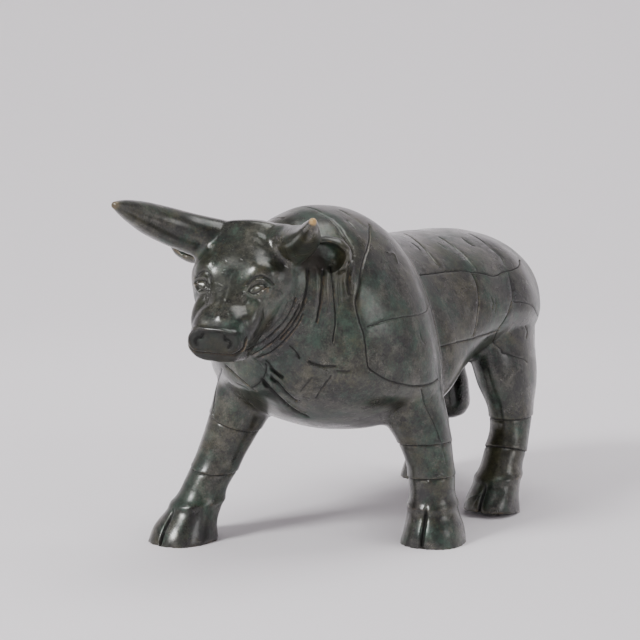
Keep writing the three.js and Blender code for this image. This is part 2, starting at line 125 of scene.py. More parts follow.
def heading_frame(degrees: float) -> tuple[Array, Array]:
    """The level directions left and forward of something turned this far to the bull's left."""
    angle = math.radians(degrees)
    left = np.array([math.cos(angle), math.sin(angle), 0.0])
    forward = np.array([math.sin(angle), -math.cos(angle), 0.0])
    return left, forward


LEFT = np.array([1.0, 0.0, 0.0])
UP = np.array([0.0, 0.0, 1.0])


@dataclass
class Shell:
    """A closed skin over rings of points, shaped rings by sides by 3."""

    rings: Array

    @classmethod
    def lofted(cls, centres: Array, side: Array, rise: Array, size: dict[str, Array],
               sides: int) -> Shell:
        """Stand rounded rings on a line of centres.

        A ring's point at angle a is half * |cos a|^(2/p) along `side` and up or down *
        |sin a|^(2/p) along `rise`, each with its own sign. The power p is the crown's
        squareness on the rise side and the keel's on the other.

        Args:
            centres: the rings' centres.
            side: the direction of each ring's half width, one for all or one for each.
            rise: the direction of each ring's upward reach, likewise.
            size: half, up, down, crown and keel for each ring.
            sides: how many points a ring has.

        Returns:
            The closed shell.
        """
        angle = np.linspace(0, 2 * math.pi, sides, endpoint=False)[None, :]
        c, s = np.cos(angle), np.sin(angle)
        power = 2 / np.where(s > 0, size["crown"][:, None], size["keel"][:, None])
        across = np.sign(c) * np.abs(c) ** power * size["half"][:, None]
        reach = np.where(s > 0, size["up"][:, None], size["down"][:, None])
        along = np.sign(s) * np.abs(s) ** power * reach
        side = np.broadcast_to(side, centres.shape)[:, None, :]
        rise = np.broadcast_to(rise, centres.shape)[:, None, :]
        return cls(centres[:, None, :] + across[..., None] * side + along[..., None] * rise)

    def arrays(self) -> tuple[Array, Array, Array]:
        """The shell's points, quads and end triangles, all facing out."""
        count, sides = self.rings.shape[:2]
        ends = np.stack([self.rings[0].mean(axis=0), self.rings[-1].mean(axis=0)])
        points = np.concatenate([self.rings.reshape(-1, 3), ends])
        ring = np.arange(count - 1)[:, None] * sides
        j = np.arange(sides)[None, :]
        k = (j + 1) % sides
        quads = np.stack([ring + j, ring + k, ring + k + sides, ring + j + sides], axis=-1)
        quads = quads.reshape(-1, 4)
        last = (count - 1) * sides
        first_fan = np.stack([np.full(sides, count * sides), k[0], j[0]], axis=-1)
        last_fan = np.stack([np.full(sides, count * sides + 1), last + j[0], last + k[0]], axis=-1)
        fans = np.concatenate([first_fan, last_fan])
        cut = np.concatenate([quads[:, [0, 1, 2]], quads[:, [0, 2, 3]], fans])
        a, b, c = (points[cut[:, n]] for n in range(3))
        if np.einsum("ij,ij->", a, np.cross(b, c)) < 0:
            quads, fans = quads[:, ::-1], fans[:, ::-1]
        return points, quads, fans


def mesh_of(name: str, shells: list[Shell]) -> bpy.types.Mesh:
    """Put shells into one mesh, in millimetres, still apart from each other."""
    points: list[Array] = []
    faces: list[list[int]] = []
    start = 0
    for shell in shells:
        own, quads, fans = shell.arrays()
        points.append(own)
        faces += (quads + start).tolist()
        faces += (fans + start).tolist()
        start += len(own)
    mesh = bpy.data.meshes.new(name)
    mesh.from_pydata(np.concatenate(points).tolist(), [], faces)
    mesh.update()
    return mesh


def worked(mesh: bpy.types.Mesh, *steps: dict) -> bpy.types.Mesh:
    """Run a mesh through modifiers and take what comes out.

    Args:
        mesh: the mesh to work on. It is used up.
        steps: each modifier's kind and settings.

    Returns:
        The new mesh.
    """
    thing = bpy.data.objects.new(mesh.name, mesh)
    bpy.context.scene.collection.objects.link(thing)
    for settings in steps:
        modifier = thing.modifiers.new("work", settings["kind"])
        for key in settings.keys() - {"kind"}:
            setattr(modifier, key, settings[key])
    graph = bpy.context.evaluated_depsgraph_get()
    made = bpy.data.meshes.new_from_object(thing.evaluated_get(graph))
    bpy.data.objects.remove(thing)
    return made


def cut_away(mesh: bpy.types.Mesh, cutter: bpy.types.Mesh) -> bpy.types.Mesh:
    """Cut one closed mesh out of another."""
    knife = bpy.data.objects.new("knife", cutter)
    bpy.context.scene.collection.objects.link(knife)
    made = worked(mesh, {"kind": "BOOLEAN", "operation": "DIFFERENCE", "solver": "MANIFOLD",
                         "object": knife})
    bpy.data.objects.remove(knife)
    return made


@dataclass
class Skin:
    """A mesh's points, edges and outward normals as arrays."""

    points: Array
    edges: Array
    normals: Array

    @classmethod
    def of(cls, mesh: bpy.types.Mesh) -> Skin:
        """Read a mesh."""
        points = np.empty(len(mesh.vertices) * 3, np.float32)
        mesh.vertices.foreach_get("co", points)
        edges = np.empty(len(mesh.edges) * 2, np.int32)
        mesh.edges.foreach_get("vertices", edges)
        normals = np.empty(len(mesh.vertices) * 3, np.float32)
        mesh.vertex_normals.foreach_get("vector", normals)
        return cls(points.reshape(-1, 3).astype(float), edges.reshape(-1, 2),
                   normals.reshape(-1, 3).astype(float))

    def put(self, mesh: bpy.types.Mesh) -> None:
        """Write the points back into the mesh they came from."""
        mesh.vertices.foreach_set("co", self.points.astype(np.float32).ravel())
        mesh.update()

    def neighbours(self, values: Array) -> Array:
        """The mean of each point's neighbours, for one or more values a point."""
        ends = np.concatenate([self.edges[:, 0], self.edges[:, 1]])
        others = np.concatenate([self.edges[:, 1], self.edges[:, 0]])
        count = len(self.points)
        share = np.maximum(np.bincount(ends, minlength=count), 1)
        wide = values.reshape(count, -1)
        sums = [np.bincount(ends, weights=column[others], minlength=count) for column in wide.T]
        return (np.stack(sums, axis=1) / share[:, None]).reshape(values.shape)

    def relax(self, weight: Array | float, rounds: int) -> None:
        """Move each point part of the way to the mean of its neighbours, again and again."""
        share = weight[:, None] if isinstance(weight, np.ndarray) else weight
        for _ in range(rounds):
            self.points += share * (self.neighbours(self.points) - self.points)

    def steady(self, rounds: int) -> None:
        """Take off the finest steps and keep the size: each round shrinks, then swells."""
        for _ in range(rounds):
            self.relax(0.5, 1)
            self.relax(-0.52, 1)


@dataclass
class Torso:
    """The body, from the rump forward. Each section stands across the bull."""

    rows: Rows = Rows("at low belt high half crown keel", (
        (161, 136, 147, 158, 14, 2.0, 2.0),
        (156, 116, 141, 168, 34, 2.0, 2.0),
        (146, 101, 136, 177, 51, 2.1, 2.0),
        (128, 92, 134, 184, 63, 2.1, 1.9),
        (100, 93, 136, 187, 68, 2.1, 1.7),
        (66, 88, 134, 187, 67, 2.1, 1.65),
        (34, 76, 124, 187, 66, 2.0, 1.85),
        (4, 68, 108, 190, 67, 1.9, 2.2),
        (-10, 68, 102, 195, 65, 1.95, 2.2),
        (-16, 68, 96, 202, 69, 2.0, 2.0),
        (-36, 67, 100, 209, 73, 1.9, 1.8),
        (-58, 71, 106, 210, 70, 1.85, 1.7),
        (-82, 80, 112, 205, 60, 1.9, 1.8),
        (-100, 92, 118, 190, 45, 2.0, 1.9),
        (-109, 98, 120, 174, 33, 2.0, 2.0),
        (-114, 102, 122, 156, 18, 2.0, 2.0),
    ))
    step: float = 2.0
    sides: int = 160

    def shells(self) -> list[Shell]:
        """Loft the body: widest at its belt, its top and bottom as high and low say."""
        row = self.rows.read(self.step)
        zero = np.zeros_like(row["at"])
        centres = np.stack([zero, row["at"], row["belt"]], axis=1)
        row["up"] = row["high"] - row["belt"]
        row["down"] = row["belt"] - row["low"]
        return [Shell.lofted(centres, LEFT, UP, row, self.sides)]


@dataclass
class Neck:
    """The neck, from inside the shoulders to the back of the skull."""

    rows: Rows = Rows("at y x z half up down", (
        (0, -50, 0, 150, 54, 48, 62),
        (1, -80, 0, 150, 50, 50, 60),
        (2, -102, 0, 152, 41, 47, 48),
        (3, -118, 1, 158, 31, 40, 37),
        (4, -130, 3, 166, 24, 30, 30),
        (5, -135, 4, 164, 12, 12, 20),
    ))
    square: float = 2.1
    step: float = 0.1
    sides: int = 120

    def shells(self) -> list[Shell]:
        """Loft the neck through its sections, which stand across the bull."""
        row = self.rows.read(self.step)
        centres = np.stack([row["x"], row["y"], row["z"]], axis=1)
        row["crown"] = row["keel"] = np.full_like(row["at"], self.square)
        return [Shell.lofted(centres, LEFT, UP, row, self.sides)]


@dataclass
class Head:
    """The skull, which hangs from the poll and turns a little to the bull's left."""

    poll: tuple[float, float, float] = (0, -124, 205)
    heading: float = 15
    slope: float = 54
    roll: float = -2
    rows: Rows = Rows("at face jaw half square", (
        (-5, -8, 18, 14, 2.0),
        (2, 0, 30, 26, 2.2),
        (14, 1, 38, 31, 2.3),
        (30, 3, 42, 32, 2.3),
        (46, 3, 41, 26.5, 2.2),
        (60, 3, 34, 20, 2.3),
        (74, 4, 27, 18.5, 2.5),
        (83, 4, 22, 18, 2.6),
        (88, 0, 15, 13, 2.4),
    ))
    # Eggs set on the face, paired: out, down and out of the face, then the half sizes.
    bumps: tuple[tuple[float, ...], ...] = (
        (14, 33, -5.5, 12, 10, 8),
        (18, 45, -4.5, 5.5, 4.2, 4.6),
        (15, 60, -8, 6, 14, 7),
        (10, 80.5, -2.5, 7, 7, 6),
    )
    chin: tuple[float, ...] = (0, 80, -12, 11, 9, 5.5)
    step: float = 1.0
    sides: int = 120
    left: Array = field(init=False)
    forward: Array = field(init=False)
    up: Array = field(init=False)
    down: Array = field(init=False)
    face: Array = field(init=False)

    def __post_init__(self) -> None:
        """Work out the head's own directions.

        Forward is level. Left is turned about it by the roll. Down runs along the face, which
        falls by the slope, and face points out of the forehead.
        """
        level, self.forward = heading_frame(self.heading)
        roll, slope = math.radians(self.roll), math.radians(self.slope)
        self.left = level * math.cos(roll) + np.cross(self.forward, level) * math.sin(roll)
        self.up = -np.cross(self.left, self.forward)
        self.down = self.forward * math.cos(slope) - self.up * math.sin(slope)
        self.face = self.forward * math.sin(slope) + self.up * math.cos(slope)

    def on_face(self, out: Array, down: Array, face: Array) -> Array:
        """The place of points given out to the left, down the face and out of it."""
        parts = (np.asarray(v, float)[..., None] for v in (out, down, face))
        along = zip(parts, (self.left, self.down, self.face))
        return np.array(self.poll, float) + sum(size * way for size, way in along)

    def from_poll(self, out: Array, front: Array, up: Array) -> Array:
        """The place of points given out to the left, level forward and up from the poll."""
        parts = (np.asarray(v, float)[..., None] for v in (out, front, up))
        along = zip(parts, (self.left, self.forward, self.up))
        return np.array(self.poll, float) + sum(size * way for size, way in along)

    def egg(self, out: float, down: float, face: float, *half: float) -> Shell:
        """An egg: each ring is a circle, of radius the sine of its angle along the egg."""
        angle = np.linspace(0.12, math.pi - 0.12, 16)
        centre = self.on_face(out, down, face)
        centres = centre + np.cos(angle)[:, None] * half[1] * self.down
        girth = np.sin(angle)
        two = np.full_like(girth, 2.0)
        size = {"half": girth * half[0], "up": girth * half[2], "down": girth * half[2],
                "crown": two, "keel": two}
        return Shell.lofted(centres, self.left, self.face, size, 24)

    def shells(self) -> list[Shell]:
        """Loft the skull down the face, and set the brows, eyes, cheeks, nose and chin on it."""
        row = self.rows.read(self.step)
        middle = (row["face"] - row["jaw"]) / 2
        centres = self.on_face(np.zeros_like(middle), row["at"], middle)
        row["up"] = row["down"] = (row["face"] + row["jaw"]) / 2
        row["crown"] = row["keel"] = row["square"]
        made = [Shell.lofted(centres, self.left, self.face, row, self.sides)]
        for side in (1, -1):
            made += [self.egg(out * side, *rest) for out, *rest in self.bumps]
        return made + [self.egg(*self.chin)]


def rod(centres: Array, half: Array, reach: Array, level: Array, sides: int) -> Shell:
    """Carry a ring along a line, its half width square to both the line and `level`."""
    ahead = np.gradient(centres, axis=0)
    ahead /= np.linalg.norm(ahead, axis=1)[:, None]
    across = np.cross(level, ahead)
    across /= np.linalg.norm(across, axis=1)[:, None]
    rise = np.cross(ahead, across)
    two = np.full_like(half, 2.0)
    size = {"half": half, "up": reach, "down": reach, "crown": two, "keel": two}
    return Shell.lofted(centres, across, rise, size, sides)


@dataclass
class Horns:
    """The horns, as centre lines out, forward and up from the poll."""

    head: Head
    left: Rows = Rows("at out front up thick", (
        (0, 12, -8, -14, 12),
        (1, 23, -3, -15, 13),
        (2, 33, 5, -12, 10.6),
        (3, 43, 18, -7.5, 8.2),
        (4, 51, 34, -1, 5.2),
        (5, 56, 44, 5, 1.8),
    ))
    right: Rows = Rows("at out front up thick", (
        (0, 12, -8, -15, 12),
        (1, 26, -2, -13, 12.5),
        (2, 40, 8, -8, 11.5),
        (3, 52, 24, -1.5, 9.8),
        (4, 58, 42, 4.5, 6.0),
        (5, 61, 55, 8, 2),
    ))
    step: float = 0.05
    sides: int = 48

    def shells(self) -> list[Shell]:
        """Carry a shrinking ring along each horn."""
        made = []
        for side, rows in ((1, self.left), (-1, self.right)):
            row = rows.read(self.step)
            centres = self.head.from_poll(row["out"] * side, row["front"], row["up"])
            made.append(rod(centres, row["thick"], row["thick"], UP, self.sides))
        return made

    def tip(self, side: int) -> Array:
        """The place of a horn's tip."""
        last = (self.left if side > 0 else self.right).values[-1]
        return self.head.from_poll(last[1] * side, last[2], last[3])


@dataclass
class Ears:
    """The ears: leaves that open forward, each with a hollow cup."""

    head: Head
    leaf: Rows = Rows("at out front up wide thick", (
        (0, 22, -16, -26, 6, 6),
        (1, 32, -17, -24, 11, 7.5),
        (2, 42, -19, -22, 13.5, 8),
        (3, 52, -20, -20, 11, 7),
        (4, 58.5, -20, -19, 4.5, 3),
    ))
    cup: Rows = Rows("at out front up wide thick", (
        (0, 29, -8, -24, 2, 2),
        (1, 35, -9, -23, 7.5, 8),
        (2, 44, -11, -21.5, 10, 9.5),
        (3, 52, -13, -20, 7, 7),
        (4, 56, -15, -19, 2, 2),
    ))
    right_lift: float = 5
    step: float = 0.05
    sides: int = 48

    def leaf_of(self, rows: Rows, side: int) -> Shell:
        """Carry a flat ring along the ear's middle line."""
        row = rows.read(self.step)
        lift = self.right_lift if side < 0 else 0
        centres = self.head.from_poll(row["out"] * side, row["front"], row["up"] + lift)
        return rod(centres, row["thick"], row["wide"], UP, self.sides)

    def meshes(self) -> list[bpy.types.Mesh]:
        """Each ear with its cup cut out of it."""
        return [
            cut_away(mesh_of("ear", [self.leaf_of(self.leaf, side)]),
                     mesh_of("cup", [self.leaf_of(self.cup, side)]))
            for side in (1, -1)
        ]


@dataclass
class Leg:
    """A leg from the sole up, as flat sections, with bands cut round it."""

    heading: float
    rows: Rows
    bands: tuple[tuple[float, float, float], ...]
    step: float = 1.5
    sides: int = 72

    def shell(self) -> Shell:
        """Stack the leg's sections, each square to the way its hoof points."""
        row = self.rows.read(self.step)
        left, forward = heading_frame(self.heading)
        centres = np.stack([row["x"], row["y"], row["at"]], axis=1)
        size = {"half": row["across"], "up": row["along"], "down": row["along"],
                "crown": row["square"], "keel": row["square"]}
        return Shell.lofted(centres, left, forward, size, self.sides)

    def centre(self, height: float) -> Array:
        """The middle of the leg at a height."""
        table = np.array(self.rows.values, float)
        row = calm(table[:, 0], table, np.array([height], float))[0]
        return np.array([row[1], row[2], height])

    def toe(self) -> Array:
        """The front of the sole."""
        sole = self.rows.values[0]
        forward = heading_frame(self.heading)[1]
        return np.array([sole[1], sole[2], 0.0]) + forward * sole[4]


LEG_COLUMNS = "at x y across along square"


@dataclass
class Legs:
    """The four legs. A band is its height and how far it tips forward and to the left."""

    fore_left: Leg = field(default_factory=lambda: Leg(10, Rows(LEG_COLUMNS, (
        (0, 69, -24, 20, 21, 2.4),
        (8, 69, -23, 18.5, 20, 2.3),
        (20, 67, -21, 15.5, 17, 2.2),
        (32, 66, -20, 14.5, 16, 2.1),
        (46, 64, -19, 14.5, 15.5, 2.1),
        (62, 60, -20, 16.5, 18, 2.1),
        (80, 54, -23, 20, 24, 2.1),
        (100, 50, -27, 20, 28, 2.1),
        (120, 46, -30, 18, 26, 2.1),
    )), bands=((62, 0.02, 0.06), (41, 0.0, 0.06))))
    fore_right: Leg = field(default_factory=lambda: Leg(-5, Rows(LEG_COLUMNS, (
        (0, -64, -107, 20, 22, 2.4),
        (8, -64, -105, 18.5, 20, 2.3),
        (20, -61, -99, 15.5, 17, 2.2),
        (32, -58, -93, 14.5, 16, 2.1),
        (46, -54, -86, 14.5, 15.5, 2.1),
        (62, -50, -78, 15.5, 18, 2.1),
        (80, -45, -69, 17.5, 23, 2.1),
        (100, -41, -60, 19, 28, 2.1),
        (120, -38, -50, 18, 26, 2.1),
    )), bands=((73, 0.1, -0.4), (43.5, 0.0, -0.16))))
    hind_left: Leg = field(default_factory=lambda: Leg(5, Rows(LEG_COLUMNS, (
        (0, 60, 68, 18, 22, 2.4),
        (8, 60, 69, 17, 20, 2.3),
        (20, 60, 76, 15, 17, 2.2),
        (36, 60, 85, 14, 16, 2.1),
        (52, 59, 95, 13, 16, 2.1),
        (66, 57, 100, 14, 20, 2.1),
        (86, 52, 103, 18, 29, 2.1),
        (110, 45, 107, 20, 35, 2.1),
        (135, 40, 110, 22, 38, 2.1),
    )), bands=((61, 0.0, 0.0), (40, 0.3, 0.0))))
    hind_right: Leg = field(default_factory=lambda: Leg(-5, Rows(LEG_COLUMNS, (
        (0, -38, 151, 18, 22, 2.4),
        (8, -38, 152, 17, 20, 2.3),
        (20, -39, 155, 15, 17, 2.2),
        (36, -41, 158, 14, 16, 2.1),
        (52, -43, 159, 13, 16, 2.1),
        (66, -45, 150, 14, 22, 2.1),
        (86, -46, 136, 18, 30, 2.1),
        (110, -44, 122, 20, 36, 2.1),
        (135, -40, 112, 22, 38, 2.1),
    )), bands=((61, 0.0, 0.0),)))
    toe_lift: float = 7
    wedge: float = 80

    def all(self) -> list[Leg]:
        """The four legs in a fixed order."""
        return [self.fore_left, self.fore_right, self.hind_left, self.hind_right]

    def ground_wedge(self) -> Shell:
        """The block under the lifted toe of the left hind hoof.

        It hinges on a line across the heel, half the sole's length behind its middle, and
        falls away backward.
        """
        leg = self.hind_left
        sole = leg.rows.values[0]
        left, forward = heading_frame(leg.heading)
        lift = math.radians(self.toe_lift)
        ahead = forward * math.cos(lift) + UP * math.sin(lift)
        below = forward * math.sin(lift) - UP * math.cos(lift)
        hinge = np.array([sole[1], sole[2], 0.0]) - forward * sole[4] / 2
        corners = np.array([(-1, 0), (1, 0), (1, 1), (-1, 1)], float) * self.wedge
        rings = [hinge + left * a + below * b + ahead * c
                 for c in (0, self.wedge) for a, b in [(corners[:, :1], corners[:, 1:])]]
        return Shell(np.stack(rings))

    def meshes(self) -> list[bpy.types.Mesh]:
        """The legs, with the ground cut away from under the lifted toe."""
        standing = [self.fore_left, self.fore_right, self.hind_right]
        lifted = cut_away(mesh_of("leg", [self.hind_left.shell()]),
                          mesh_of("ground", [self.ground_wedge()]))
        return [mesh_of("legs", [leg.shell() for leg in standing]), lifted]


@dataclass
class Hanging:
    """The tail, which swings to the right, and the scrotum."""

    tail: Rows = Rows("at x y z thick", (
        (0, 0, 150, 168, 7),
        (1, -2, 162, 160, 6.5),
        (2, -6, 166, 144, 5.5),
        (3, -13, 164, 126, 5),
        (4, -22, 162, 110, 6),
        (5, -30, 164, 94, 8),
        (6, -34, 167, 82, 3),
    ))
    pouch: Rows = Rows("at y across along", (
        (52, 117, 4, 4),
        (55, 117, 10, 10),
        (64, 117, 14, 14),
        (76, 116, 13, 13.5),
        (90, 115, 10, 12),
        (108, 114, 10, 12),
    ))
    sides: int = 40

    def shells(self) -> list[Shell]:
        """Carry a ring down the tail, and stack level rings for the scrotum."""
        tail = self.tail.read(0.05)
        line = np.stack([tail["x"], tail["y"], tail["z"]], axis=1)
        pouch = self.pouch.read(1.0)
        zero = np.zeros_like(pouch["at"])
        centres = np.stack([zero, pouch["y"], pouch["at"]], axis=1)
        size = {"half": pouch["across"], "up": pouch["along"], "down": pouch["along"],
                "crown": zero + 2, "keel": zero + 2}
        forward = heading_frame(0)[1]
        return [rod(line, tail["thick"], tail["thick"], LEFT, self.sides),
                Shell.lofted(centres, LEFT, forward, size, self.sides)]


class Look(Enum):
    """Where a line is drawn from. Its two numbers are measures square to that look."""

    LEFT = "along and up, from the middle out to the left"
    RIGHT = "along and up, from the middle out to the right"
    LEFT_LEG = "along and up, from outside in, on the left"
    RIGHT_LEG = "along and up, from outside in, on the right"
    BACK = "out and along, from mid height up"
    CHEST = "across and up, from inside the chest forward"
    RUMP = "across and up, from inside the rump backward"
    BELLY = "across and along, from below"
    FRONT = "across and up, from outside the front back"
    FACE = "out and down the face, from inside the skull"
    CHEEK_LEFT = "down the face and out of it, to the left"
    CHEEK_RIGHT = "down the face and out of it, to the right"
    PHOTO = "across and down the photograph, in its pixels"


@dataclass(frozen=True)
class Line:
    """A stroke of the chasing tool, or a raised one where its depth is below nought."""

    look: Look
    points: tuple[tuple[float, float], ...]
    half: float = 0.65
    depth: float = 0.75


@dataclass(frozen=True)
class Swell:
    """A soft rise of the skin, or a hollow where its height is below nought."""

    centre: tuple[float, float, float]
    reach: tuple[float, float, float]
    height: float


@dataclass(frozen=True)
class Viewpoint:
    """Where the photograph was taken from, in metres and degrees, worked out from the hooves."""

    place: tuple[float, float, float] = (0.6181, -0.9593, 0.2700)
    heading: float = 34.0
    dip: float = 6.8
    focal: float = 1783.0
    side: float = 640.0

    def ahead(self) -> Array:
        """The way the camera looks."""
        heading, dip = math.radians(self.heading), math.radians(self.dip)
        level = np.array([-math.sin(heading), math.cos(heading), 0.0])
        return level * math.cos(dip) - UP * math.sin(dip)

    def through(self, across: Array, down: Array) -> Array:
        """The ways from the camera through places in the photograph, in its pixels."""
        ahead = self.ahead()
        right = np.cross(ahead, UP)
        right /= np.linalg.norm(right)
        rise = np.cross(right, ahead)
        middle = self.side / 2
        return (ahead * self.focal + right * (across - middle)[:, None]
                - rise * (down - middle)[:, None])


@dataclass
class Chisel:
    """Finds where strokes lie on the skin and presses them into it."""

    tree: BVHTree
    head: Head
    rng: np.random.Generator
    eye: Array
    view: Viewpoint = Viewpoint()
    spacing: float = 1.2
    longest: float = 5.0
    wobble: float = 0.1
    far: float = 300.0
    inner_chest: float = -60.0
    inner_rump: float = 110.0
    mid_height: float = 130.0
    inner_face: float = -14.0

    def rays(self, look: Look, a: Array, b: Array) -> tuple[Array, Array]:
        """Where each look starts, and the way it goes, for measures a and b."""
        zero = np.zeros_like(a)
        head = self.head
        starts = {
            Look.LEFT: lambda: np.stack([zero, a, b], 1),
            Look.RIGHT: lambda: np.stack([zero, a, b], 1),
            Look.LEFT_LEG: lambda: np.stack([zero + self.far, a, b], 1),
            Look.RIGHT_LEG: lambda: np.stack([zero - self.far, a, b], 1),
            Look.BACK: lambda: np.stack([a, b, zero + self.mid_height], 1),
            Look.CHEST: lambda: np.stack([a, zero + self.inner_chest, b], 1),
            Look.RUMP: lambda: np.stack([a, zero + self.inner_rump, b], 1),
            Look.BELLY: lambda: np.stack([a, b, zero - self.far], 1),
            Look.FRONT: lambda: np.stack([a, zero - self.far, b], 1),
            Look.FACE: lambda: head.on_face(a, b, zero + self.inner_face),
            Look.CHEEK_LEFT: lambda: head.on_face(zero, a, b),
            Look.CHEEK_RIGHT: lambda: head.on_face(zero, a, b),
            Look.PHOTO: lambda: self.eye + np.zeros((len(a), 3)),
        }
        ways = {
            Look.LEFT: LEFT,
            Look.RIGHT: -LEFT,
            Look.LEFT_LEG: -LEFT,
            Look.RIGHT_LEG: LEFT,
            Look.BACK: UP,
            Look.CHEST: np.array([0.0, -1.0, 0.0]),
            Look.RUMP: np.array([0.0, 1.0, 0.0]),
            Look.BELLY: UP,
            Look.FRONT: np.array([0.0, 1.0, 0.0]),
            Look.FACE: head.face,
            Look.CHEEK_LEFT: head.left,
            Look.CHEEK_RIGHT: -head.left,
            Look.PHOTO: self.view.through(a, b),
        }
        return starts[look](), ways[look] + np.zeros((len(a), 3))

    def drawn(self, line: Line) -> Array:
        """The line's points on the skin.

        The given points are joined by a smooth curve, a Catmull-Rom spline, which wobbles a
        little as a hand does.
        """
        given = np.array(line.points, float)
        knots = np.concatenate([2 * given[:1] - given[1:2], given, 2 * given[-1:] - given[-2:-1]])
        pieces = []
        for p0, p1, p2, p3 in zip(knots, knots[1:], knots[2:], knots[3:]):
            count = max(2, math.ceil(np.linalg.norm(p2 - p1) / self.spacing))
            t = np.linspace(0, 1, count, endpoint=False)[:, None]
            pieces.append(0.5 * (2 * p1 + (p2 - p0) * t + (2 * p0 - 5 * p1 + 4 * p2 - p3) * t**2
                                 + (3 * p1 - p0 - 3 * p2 + p3) * t**3))
        flat = np.concatenate([*pieces, given[-1:]])
        drift = np.cumsum(self.rng.normal(0, self.wobble, flat.shape), axis=0)
        flat = flat + drift - np.linspace(0, 1, len(flat))[:, None] * drift[-1]
        starts, ways = self.rays(line.look, flat[:, 0], flat[:, 1])
        found = [self.tree.ray_cast(Vector(start), Vector(way))[0]
                 for start, way in zip(starts, ways)]
        return np.array([hit[:] for hit in found if hit is not None], float).reshape(-1, 3)

    def near(self, points: Array, path: Array, reach: float) -> tuple[Array, Array]:
        """Which points lie near a path on the skin, and how far each is from it.

        Where the path leaps from one form to another behind it, it is broken.
        """
        box = (points > path.min(axis=0) - reach) & (points < path.max(axis=0) + reach)
        index = np.flatnonzero(box.all(axis=1))
        near = points[index]
        start, span = path[:-1], np.diff(path, axis=0)
        length = np.maximum(np.einsum("ij,ij->i", span, span), 1e-9)
        best = np.full(len(index), np.inf)
        for a, d, size in zip(start, span, length):
            if size < self.longest**2:
                away = near - a
                t = np.clip(away @ d / size, 0, 1)
                best = np.minimum(best, np.linalg.norm(away - t[:, None] * d, axis=1))
        close = best < reach
        return index[close], best[close]

    def press(self, skin: Skin, line: Line, cut: Array, swell: Array) -> bool:
        """Work one line out: a groove as a depth below the skin, or a raised line as a height.

        Both fall off as a bell across the line. Where two cross, the deeper or higher holds.
        """
        path = self.drawn(line)
        if len(path) < 2:
            return False
        index, away = self.near(skin.points, path, 2.4 * line.half)
        bell = np.exp(-((away / line.half) ** 2) * 1.6) * abs(line.depth)
        into = cut if line.depth > 0 else swell
        into[index] = np.maximum(into[index], bell)
        return True


